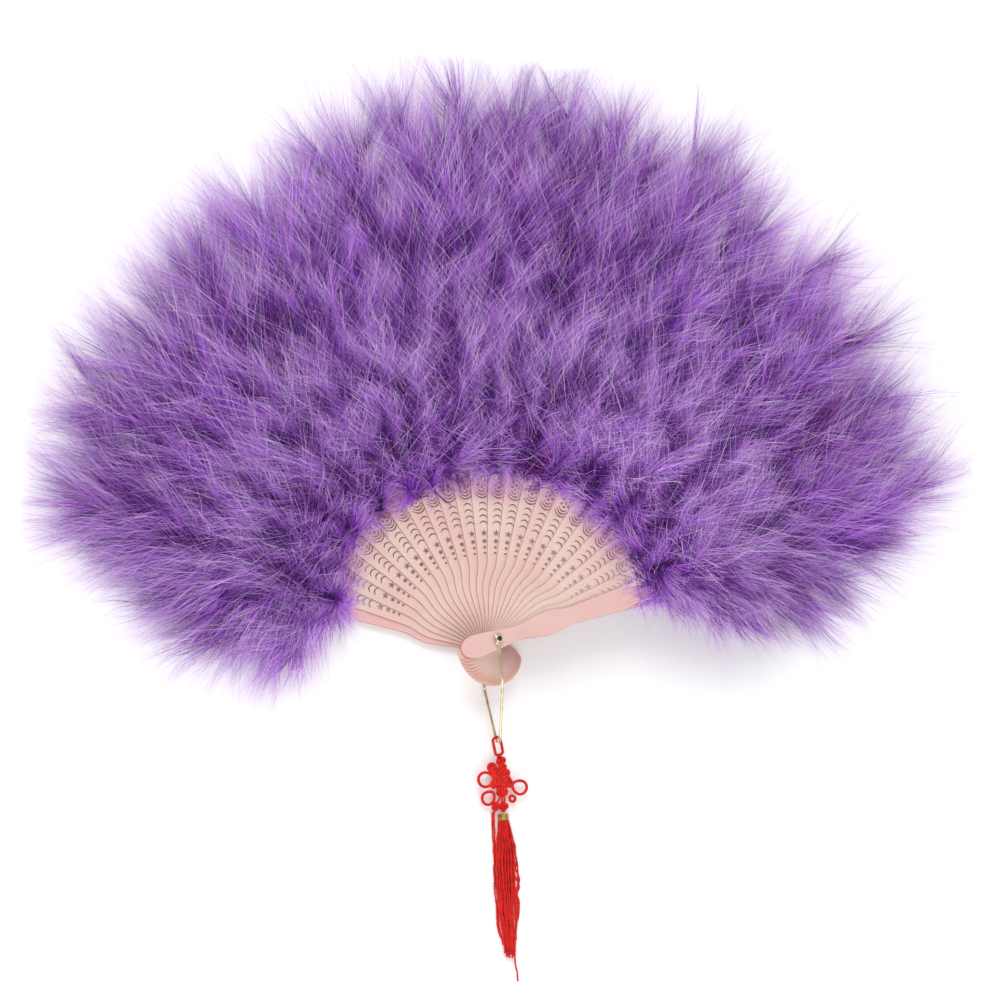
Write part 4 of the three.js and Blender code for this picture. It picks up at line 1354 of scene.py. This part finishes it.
@dataclass
class Pendant:
    """The bail with the cord, the knot and the tassel that hang on it, and the rivet that holds the bail."""

    turn_angle: float = 5.4
    bend_y: float = -47.2
    leg_turn_y: float = -23.8
    bend_radius: float = 4.6
    wire_radius: float = 0.8
    eye_thickness: float = 1.4
    loop_drop_angle: float = 42.0
    loop_lean_angle: float = 16.0
    loop_length: float = 13.8
    loop_width: float = 5.8
    cord_radius: float = 0.85
    cord_gap: float = 0.3
    button_radius: float = 3.1
    knot_length: float = 16.0
    knot_width: float = 13.0
    knot_turn_angle: float = -0.6
    stem_length: float = 8.4
    collar_radius: float = 3.2
    collar_length: float = 4.2
    stem_radius: float = 1.5
    tassel_turn_angle: float = -2.2
    tassel_length: float = 71.0
    tassel_width: float = 12.6
    tassel_thickness: float = 6.4
    tassel_shares: Table = (
        (0.0, 0.42), (0.08, 0.62), (0.25, 0.95), (0.45, 1.0), (0.7, 0.86), (0.9, 0.7), (1.0, 0.6),
    )
    thread_count: int = 34
    golden_angle: float = 2.4
    thread_radius: float = 0.58
    seed: int = 58

    def turned(self) -> Matrix:
        """The bail's own frame, in which its plane is X = 0."""
        return Matrix.Rotation(math.radians(self.turn_angle), 4, "Z")

    def at_bend(self) -> Matrix:
        """The frame round the middle of the bend, whose -Y axis leaves the wire squarely."""
        low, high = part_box("bail")
        middle = (low[2] + high[2]) / 2
        drop = Matrix.Rotation(math.radians(self.loop_drop_angle), 4, "X")
        return self.turned() @ Matrix.Translation((0, self.bend_y * MM, middle)) @ drop

    def at_button(self) -> Matrix:
        """The frame of the knot, round the middle of its button and sloping down to the table."""
        foot = self.loop_foot()
        reach = -foot + self.loop_width / 2 + self.cord_gap + self.button_radius - self.bend_radius
        lean = math.radians(self.loop_lean_angle)
        local = Vector((reach * math.sin(lean), -self.bend_radius - reach * math.cos(lean), 0)) * MM
        place = self.turned().inverted() @ self.at_bend() @ local
        slope = math.asin((place.z - self.collar_radius * MM) / (-self.ball_y() * MM))
        turn = Matrix.Rotation(math.radians(self.knot_turn_angle), 4, "Z")
        return self.turned() @ Matrix.Translation(place) @ turn @ Matrix.Rotation(slope, 4, "X")

    def at_tassel(self) -> Matrix:
        """The frame of the tassel, round the end of the knot's stem and level with the table."""
        place = self.at_button() @ Vector((0, self.ball_y() * MM, 0))
        turn = Matrix.Rotation(math.radians(self.turn_angle + self.tassel_turn_angle), 4, "Z")
        return Matrix.Translation(place) @ turn

    def loop_top(self) -> float:
        """The middle of the loop's round upper end, from the middle of the bend."""
        half = self.loop_width / 2 - self.cord_radius
        return -self.bend_radius + self.wire_radius + self.cord_gap + self.cord_radius - half

    def loop_foot(self) -> float:
        """The middle of the loop's round lower end, from the middle of the bend."""
        return self.loop_top() - (self.loop_length - self.loop_width)

    def knot_foot(self) -> float:
        """The lower end of the knot's woven body, from the middle of its button."""
        return -(self.button_radius - self.cord_radius) - self.knot_length

    def ball_y(self) -> float:
        """The end of the knot's stem, from the middle of its button."""
        return -(self.button_radius + self.knot_length + self.stem_length - 2 * self.cord_radius)

    def rivet(self, finish: Material, dark: Material) -> None:
        """A tubular rivet with a rolled head at each end, painted dark inside as shade in its deep hollow."""
        top, tube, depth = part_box("rivet")[1][2] / MM, 1.2, 3.1
        lower = [(0.0, 0.0), (1.75, 0.0), (2.05, 0.22), (2.1, 0.7), (1.95, 1.15), (tube, 1.2)]
        upper = [(tube, 1.2), (2.0, 1.14), (2.12, 0.8), (2.02, 0.3), (1.7, 0.04), (1.35, 0.04)]
        upper += [(1.05, 0.3), (0.92, 0.9), (0.86, 3.0), (0.0, depth)]
        profile = [*lower, *((radius, top - below) for radius, below in upper)]
        mesh = outward(self.lathe("rivet_tube", profile, 28))
        mesh.materials.append(finish)
        mesh.materials.append(dark)
        # The faces inside the hollow take the dark brass: painted shade of the deep hole.
        for face in mesh.polygons:
            middle = face.center / MM
            is_inside = middle.xy.length < tube and middle.z > top - depth - 0.1
            face.material_index = int(is_inside)
        piece("rivet_tube", smooth(mesh, 40), "rear_arm", "wire", "rivet")

    def lathe(self, name: str, profile: Sequence[tuple[float, float]], steps: int) -> Mesh:
        """A turned shape round Z from a profile of radii and heights in millimetres."""
        mesh = bpy.data.meshes.new(name)
        with edited(mesh) as work:
            line = [work.verts.new((radius * MM, 0, height * MM)) for radius, height in profile]
            edges = [work.edges.new(pair) for pair in zip(line, line[1:])]
            turn = {"cent": (0, 0, 0), "axis": (0, 0, 1), "angle": 2 * math.pi}
            bmesh.ops.spin(work, geom=[*line, *edges], steps=steps, use_merge=True, **turn)
        return mesh

    def eye(self, name: str, level: float, finish: Material) -> Mesh:
        """The flattened eye that the wire ends in, a long ring round the rivet."""
        profile = [(1.98 + 0.5 * math.cos(turn), 0.66 * math.sin(turn)) for turn in around(12)]
        mesh = self.lathe(name, [*profile, profile[0]], 30)
        mesh.transform(Matrix.Diagonal((1.0, 1.3, 1.0, 1.0)))
        mesh.transform(self.turned() @ Matrix.Translation((0, 0, level)))
        mesh.materials.append(finish)
        return outward(mesh)

    def bail(self, finish: Material) -> None:
        """The wire: a leg from each eye, straight past the tails, then in to the round bend."""
        low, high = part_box("bail")
        half = self.eye_thickness / 2
        levels = [high[2] / MM - half, low[2] / MM + half]
        middle = sum(levels) / 2
        turn_y = self.leg_turn_y
        run, rise = turn_y - self.bend_y, (levels[0] - levels[1]) / 2
        start = math.atan2(rise, run) + math.acos(self.bend_radius / math.hypot(run, rise))
        leg = [-2.9, -8.0, -15.0, turn_y + 2.4]
        line: list[Point] = [(0, y, levels[0]) for y in leg]
        line.append((0, turn_y - 0.3, levels[0] - 0.45))
        for step in range(9):
            angle = start + (2 * math.pi - 2 * start) * step / 8
            y, z = self.bend_radius * math.cos(angle), self.bend_radius * math.sin(angle)
            line.append((0, self.bend_y + y, middle + z))
        line.append((0, turn_y - 0.3, levels[1] + 0.45))
        line += [(0, y, levels[1]) for y in reversed(leg)]
        wire = Strands(finish, "Wire", plies=1, sides=14)
        mesh = wire.along("bail", [line], self.turned(), Radius=self.wire_radius * MM, Spacing=0.9 * MM)
        for layer in list(mesh.uv_layers):
            mesh.uv_layers.remove(layer)
        eyes = [self.eye(f"eye_{index}", level * MM, finish) for index, level in enumerate(levels)]
        piece("bail_wire", smooth(joined("bail_wire", [mesh, *eyes]), 60), "bail", "wire", "bail")

    def ring(self, centre: tuple[float, float], radius: float, towards: tuple[float, float]) -> list[Point]:
        """An ear of cord, drawn out towards the body that it leaves."""
        way = Vector((towards[0] - centre[0], towards[1] - centre[1])).normalized()
        points = []
        for turn in around(14):
            x, y = radius * math.cos(turn), radius * math.sin(turn)
            pull = max(0.0, (x * way.x + y * way.y) / radius) ** 3 * 0.22 * radius
            height = 0.35 * math.sin(2 * turn)
            points.append((centre[0] + x + way.x * pull, centre[1] + y + way.y * pull, height))
        return points

    def bead(self, centre: Point, size: float) -> list[Point]:
        """A small knot, as a closed path that winds three times through itself."""
        points = []
        for turn in around(30):
            reach = size * (1 + 0.45 * math.cos(3 * turn))
            x, y = reach * math.cos(2 * turn), reach * math.sin(2 * turn)
            points.append((centre[0] + x, centre[1] + y, centre[2] + size * 0.62 * math.sin(3 * turn)))
        return points

    def weave(self) -> list[list[Point]]:
        """The knot's body: two runs of cord that go over and under each other in a diamond."""
        count, spacing, height, diagonal = 4, 2.72, 0.72, 0.707
        centre_y = -(self.button_radius - self.cord_radius) - self.knot_length / 2
        middle = (count - 1) / 2

        def at(first: float, second: float, level: float) -> Point:
            """A place on the diamond, by its numbers across both of its sides."""
            a, b = (first - middle) * spacing, (second - middle) * spacing
            return ((a - b) * diagonal * 0.84, centre_y + (a + b) * diagonal * 1.1, level)

        runs = []
        for side in (0, 1):
            run: list[Point] = []
            for row in range(count):
                steps = list(range(count) if row % 2 else range(count - 1, -1, -1))
                for step in steps:
                    pair = (step, row) if side == 0 else (row, step)
                    run.append(at(*pair, height if (step + row + side) % 2 else -height))
                if row < count - 1:
                    outwards = 1 if steps[-1] else -1
                    for shift, bulge in ((0.12, 0.62), (0.5, 0.78), (0.88, 0.62)):
                        reach = steps[-1] + bulge * outwards
                        pair = (reach, row + shift) if side == 0 else (row + shift, reach)
                        run.append(at(*pair, 0.0))
            runs.append(run)
        return runs

    def knot(self, cord: Strands) -> None:
        """The loop on the bail, the button, the woven knot with its ears, and two small knots under it."""
        place = self.at_button()
        neck = -(self.button_radius - self.cord_radius)
        half, length = self.knot_width / 2, self.knot_length
        body = (0.0, neck - length / 2)
        # Each ear's middle in shares of the knot's half width and of its length, and its radius.
        ears = [(-1.36, 0.44, 3.8), (-1.2, 1.06, 3.3), (1.55, 0.76, 3.6)]
        ears += [(-0.75, 0.06, 2.1), (-0.72, 0.08, 1.0), (0.86, 1.12, 1.5)]
        rings = [
            self.ring((half * across, neck - length * along), radius, body) for across, along, radius in ears
        ]
        sizes = {"Radius": self.cord_radius * MM, "Spacing": 0.55 * MM, "Pitch": 3.4 * MM}
        beads = [self.bead((0.0, 0.3, 0.0), 1.5), self.bead((0.5, -3.1, 0.2), 1.3)]
        foot = self.knot_foot()
        beads += [self.bead((0.6, foot - 5.6, 0.0), 1.35), self.bead((-3.6, foot - 5.4, -0.3), 1.3)]
        down = self.ball_y() - 0.9 - foot
        stems = below(
            foot,
            [(0.6, 1.5, 0.0), (1.1, -0.8, 0.1), (1.2, -3.2, 0.0), (0.4, down, 0.0)],
            [(-0.3, 1.5, 0.0), (-1.4, -1.2, 0.0), (-3.0, -3.6, -0.2), (-3.6, -5.4, -0.3)],
            [(0.0, 0.8, 0.2), (-0.2, -2.4, 0.3), (0.0, -5.0, 0.1), (-0.4, down, 0.0)],
        )
        thin = {**sizes, "Radius": 0.6 * MM, "Pitch": 2.6 * MM}
        whole = [cord.along("knot_rings", [*rings, *beads], place, is_closed=True, **sizes)]
        whole.append(cord.along("knot_weave", self.weave(), place, **{**sizes, "Radius": 1.12 * MM}))
        whole.append(cord.along("knot_stems", stems, place, **thin))
        piece("knot_cord", joined("knot_cord", whole), "knot", "red_cord", "charm_knot")
        self.loop(cord, sizes)

    def loop(self, cord: Strands, sizes: dict[str, float]) -> None:
        """The long loop of cord that hangs on the bail's bend."""
        top, low_end, half_width = self.loop_top(), self.loop_foot(), self.loop_width / 2 - self.cord_radius
        points = []
        for step in range(16):
            turn = 2 * math.pi * (step + 0.5) / 16
            y = top if math.sin(turn) > 0 else low_end
            points.append((half_width * math.cos(turn), y + half_width * math.sin(turn), 0.0))
        to_wire = Matrix.Translation((0, self.bend_radius * MM, 0))
        turn = Matrix.Rotation(math.radians(self.loop_lean_angle), 4, "Z")
        place = self.at_bend() @ (to_wire.inverted() @ turn @ to_wire)
        loop = cord.along("cord_loop", [points], place, is_closed=True, **sizes)
        piece("loop_cord", loop, "knot", "red_cord", "cord_loop")

    def collar(self, thread: Strands) -> None:
        """Gold thread wound round the head of the tassel."""
        turns, radius, run = 6, 2.65, self.collar_length - 0.9
        steps = turns * 14
        line: list[Point] = []
        for step in range(steps + 1):
            share = step / steps
            angle = 2 * math.pi * turns * share
            height = self.head() - 0.45 - run * share
            line.append((radius * math.cos(angle), height, radius * math.sin(angle)))
        sizes = {"Radius": 0.36 * MM, "Spacing": 0.5 * MM, "Pitch": 1.4 * MM}
        mesh = thread.along("collar", [line], self.at_tassel(), **sizes)
        piece("collar_thread", mesh, "tassel", "gold_thread", "tassel_collar")

    def head(self) -> float:
        """The level of the tassel's head in its own frame."""
        return -(self.stem_radius + self.cord_gap)

    def half_width(self, share: float) -> float:
        """Half the width of the tassel at a share of its length."""
        return self.tassel_width / 2 * between(self.tassel_shares, share)

    def tassel(self, thread: Strands) -> None:
        """Some tens of twisted threads that spread from the collar and lie together on the table."""
        chance = random.Random(self.seed)
        head, count, steps = self.head(), self.thread_count, 14
        lines: list[list[Point]] = []
        for number in range(count):
            angle = self.golden_angle * number
            reach = math.sqrt((number + 0.5) / count)
            across, depth = reach * math.cos(angle), reach * math.sin(angle)
            length = (self.tassel_length + self.collar_length) * chance.uniform(0.9, 1.0)
            phase, wave = chance.uniform(0, 6.28), chance.uniform(0.2, 0.55)
            line = []
            for step in range(steps + 1):
                share = step / steps
                wide = self.half_width(share) - 0.6
                high = (self.tassel_thickness / self.tassel_width) * wide
                sag = 0.35 * smoothstep(share, 0.1, 0.5)
                x = across * wide + wave * share * math.sin(9 * share + phase)
                z = max(-self.collar_radius + 0.65, depth * high * (1 - sag) - sag * 1.6)
                line.append((x, head - 0.3 - length * share, z))
            lines.append(line)
        mesh = thread.along("tassel", lines + self.loose(), self.at_tassel(), **self.thread_sizes())
        piece("tassel_cords", mesh, "tassel", "red_cord", "tassel_threads")

    def thread_sizes(self) -> dict[str, float]:
        """The sizes of the tassel's twisted threads."""
        radius = self.thread_radius * MM
        return {"Radius": radius, "Spacing": 0.9 * MM, "Pitch": 2.8 * MM, "Crimp": 0.9 * MM}

    def loose(self) -> list[list[Point]]:
        """The threads that stand off to the right of the rest, one of them longer."""
        low = -self.collar_radius + 0.6
        long = [(7.0, -30), (6.1, -46), (4.3, -62), (3.0, -74), (3.6, -82), (3.9, -87)]
        short = [(6.7, -24), (5.2, -31), (7.4, -38), (5.4, -44), (6.6, -51), (4.6, -58)]
        middle = [(5.6, -28), (7.6, -34), (5.9, -41), (6.9, -47), (4.9, -56), (4.2, -66)]
        return below(
            self.head(),
            lying(low, [(1.2, -1, 0.6), (4.6, -14, 0.8)], long),
            lying(low, [(1.4, -1, 0.2), (4.4, -12, 0.4)], short),
            lying(low, [(1.0, -1, -0.4), (4.0, -16, -0.6)], middle),
        )

    def tails(self, cord: Strands, thread: Strands) -> None:
        """The cord's end under the left small knot and two threads beside it, which bend to the tassel."""
        foot, low = self.knot_foot(), -self.collar_radius + 0.6
        tail = below(foot, [(-3.8, -6.2, -0.4), (-4.6, -9.0, -1.0), (-5.0, -12.2, -1.4), (-5.6, -15.0, -1.6)])
        sizes = {"Radius": 0.62 * MM, "Spacing": 0.55 * MM, "Pitch": 2.6 * MM}
        right = [(-4.6, -18), (-5.3, -32), (-4.4, -46), (-4.6, -58), (-3.2, -68)]
        left = [(-5.5, -8), (-5.4, -22), (-6.1, -36), (-5.3, -48), (-5.4, -57), (-4.4, -64)]
        lines = below(
            self.head(),
            lying(low, [(-4.6, 1.5, low + 1.2), (-4.5, -6, low + 0.5)], right),
            lying(low, [(-5.4, 0.8, low + 0.6)], left),
        )
        end = cord.along("knot_tail", tail, self.at_button(), **sizes)
        beside = thread.along("tail_threads", lines, self.at_tassel(), **self.thread_sizes())
        made = piece("tail_cords", joined("tail_cords", [end, beside]), None, "red_cord")
        start, stop = (self.at_button() @ (Vector((-3.8, foot - down, -0.4)) * MM) for down in (5.4, 11.0))
        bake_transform(made, "knot", "tassel", start, stop)

    def build(self, wire: Material, dark: Material, red: Material, gold: Material) -> None:
        """Makes every piece from the rivet to the tassel."""
        self.rivet(wire, dark)
        self.bail(wire)
        cord = Strands(red, "Cord", plies=3, sides=7)
        self.knot(cord)
        self.collar(Strands(gold, "Gold Thread", plies=2, sides=6))
        thread = Strands(red, "Tassel Thread", plies=2, sides=5)
        self.tassel(thread)
        self.tails(cord, thread)


@dataclass(frozen=True)
class Lamp:
    """A soft square lamp."""

    name: str
    place: Point
    size: float
    power: float


@dataclass
class Studio:
    """The pale table, the soft light and the camera at the photograph's angle."""

    towards_camera: Point = (-0.2706, -0.2028, 0.941)
    distance: float = 1.5
    lens: float = 103.8
    sensor: float = 36.0
    head: Point = (0.0, 0.0, 0.038)
    head_right: float = -0.26 * MM
    head_down: float = 72.0 * MM
    floor_level: float = -0.3 * MM
    floor_half: float = 6.0
    glow: float = 0.21
    white: Colour = (0.6, 0.6, 0.6, 1.0)
    # Painted light: the pink-brown glow of the table under the sticks, seen through their holes.
    painted_glow_under_sticks: Colour = (0.84, 0.36, 0.28, 1.0)
    sky: float = 0.55
    lit: Point = (0.0, 0.1, 0.0)
    key: Lamp = Lamp("key", (-0.6, 1.1, 1.9), 1.0, 15.5)
    fill: Lamp = Lamp("fill", (-0.1, -1.0, 1.7), 1.4, 13.0)

    def camera(self) -> None:
        """Sets the camera so that the front rivet head lies where the photograph shows it."""
        towards = Vector(self.towards_camera).normalized()
        up = (Vector((0, 1, 0)) - towards * towards.y).normalized()
        right = up.cross(towards)
        aim = Vector(self.head) + up * self.head_down - right * self.head_right
        axes = Matrix((right, up, towards)).transposed().to_4x4()
        data = bpy.data.cameras.new("camera")
        data.sensor_width = self.sensor
        data.lens = self.lens
        data.clip_end = 20.0
        camera = shown("camera", data)
        camera.matrix_world = Matrix.Translation(aim + towards * self.distance) @ axes
        bpy.context.scene.camera = camera

    def floor_finish(self) -> Material:
        """A white table that the camera sees a little brighter than its light makes it, and pink-brown under
        the sticks, as painted light come through the plastic.
        """
        surface = Surface("white_table", {"Roughness": 0.9, "Specular IOR Level": 0.1})
        place = surface.place()
        faint = surface.remap(surface.noise(place, 0.4, 1.0), 0.3, 0.7)
        surface.wear("Base Color", surface.mix(faint, paint(250, 250, 251), paint(252, 252, 252)))
        x, y, _ = surface.apart(place)
        # Under the sticks and near the rivet the glow turns pink-brown: painted light, as if come through the
        # plastic.
        behind = y - surface.sum("ABSOLUTE", x) * 0.36
        under = surface.remap(behind, 0.0, 12 * MM, is_smooth=True)
        near = surface.remap(surface.length(place), 0.12, 0.2, 1.0, 0.0)
        paths = surface.node("ShaderNodeLightPath")
        seen = surface.sum("MINIMUM", 1.0, paths + paths.other(3) + paths.other(6))
        glow = surface.mix(under * near, self.white, self.painted_glow_under_sticks)
        surface.wear("Emission Color", surface.mix(seen, (0.0, 0.0, 0.0, 1.0), glow))
        surface.shader.inputs["Emission Strength"].default_value = self.glow
        return surface.material

    def floor(self) -> None:
        """The table, far larger than the view."""
        half = self.floor_half
        corners = [(-half, -half), (half, -half), (half, half), (-half, half)]
        mesh = bpy.data.meshes.new("table")
        mesh.from_pydata([(x, y, self.floor_level) for x, y in corners], [], [(0, 1, 2, 3)])
        mesh.materials.append(self.floor_finish())
        shown("table", mesh)

    def world(self) -> None:
        """Even light from all round."""
        world = bpy.data.worlds.new("studio")
        bpy.context.scene.world = world
        world.use_nodes = True
        tree = Tree(world.node_tree)
        world.node_tree.nodes.clear()
        sockets = {"Color": paint(252, 251, 253), "Strength": self.sky}
        back = tree.node("ShaderNodeBackground", sockets=sockets)
        output = world.node_tree.nodes.new("ShaderNodeOutputWorld")
        world.node_tree.links.new(back.socket, output.inputs[0])

    def light(self, lamp: Lamp) -> None:
        """Puts up a lamp that faces the middle of the fan."""
        data = bpy.data.lights.new(lamp.name, "AREA")
        data.shape = "SQUARE"
        data.size = lamp.size
        data.energy = lamp.power
        aim = Vector(self.lit) - Vector(lamp.place)
        turn = aim.to_track_quat("-Z", "Y").to_matrix().to_4x4()
        shown(lamp.name, data).matrix_world = Matrix.Translation(lamp.place) @ turn

    def build(self) -> None:
        """Sets the camera, the table and the light."""
        bpy.context.scene.view_settings.view_transform = "Standard"
        self.camera()
        self.floor()
        self.world()
        self.light(self.key)
        self.light(self.fill)


def main() -> None:
    """Builds the scene."""
    logging.basicConfig(level=logging.INFO, format="%(message)s")
    Studio().build()
    stick_paints = paint(241, 210, 198), paint(239, 198, 189), paint(188, 110, 184)
    guard_paints = paint(236, 197, 190), paint(234, 187, 182), paint(208, 144, 186)
    sticks = MouldedPlastic("stick_plastic", *stick_paints)
    guards = MouldedPlastic("guard_plastic", *guard_paints, dye_from=80 * MM, dye_to=104 * MM)
    fan = FanFrame()
    Blades(fan).build(sticks.material(), guards.material())
    Plumage(fan).build(DyedDown().material())
    red = SpunThread("red_thread", paint(252, 34, 20), paint(190, 10, 8), 0.42)
    gold = SpunThread("gold_thread", paint(250, 222, 140), paint(140, 96, 36), 0.3, metallic=1.0)
    # Dark brass for the inside of the rivet's hollow: painted shade of the deep hole.
    painted_hollow_shade = PaleBrass("tarnished_brass", paint(132, 128, 104), paint(70, 68, 50))
    Pendant().build(PaleBrass().material(), painted_hollow_shade.material(), red.material(), gold.material())


if __name__ == "__main__":
    main()
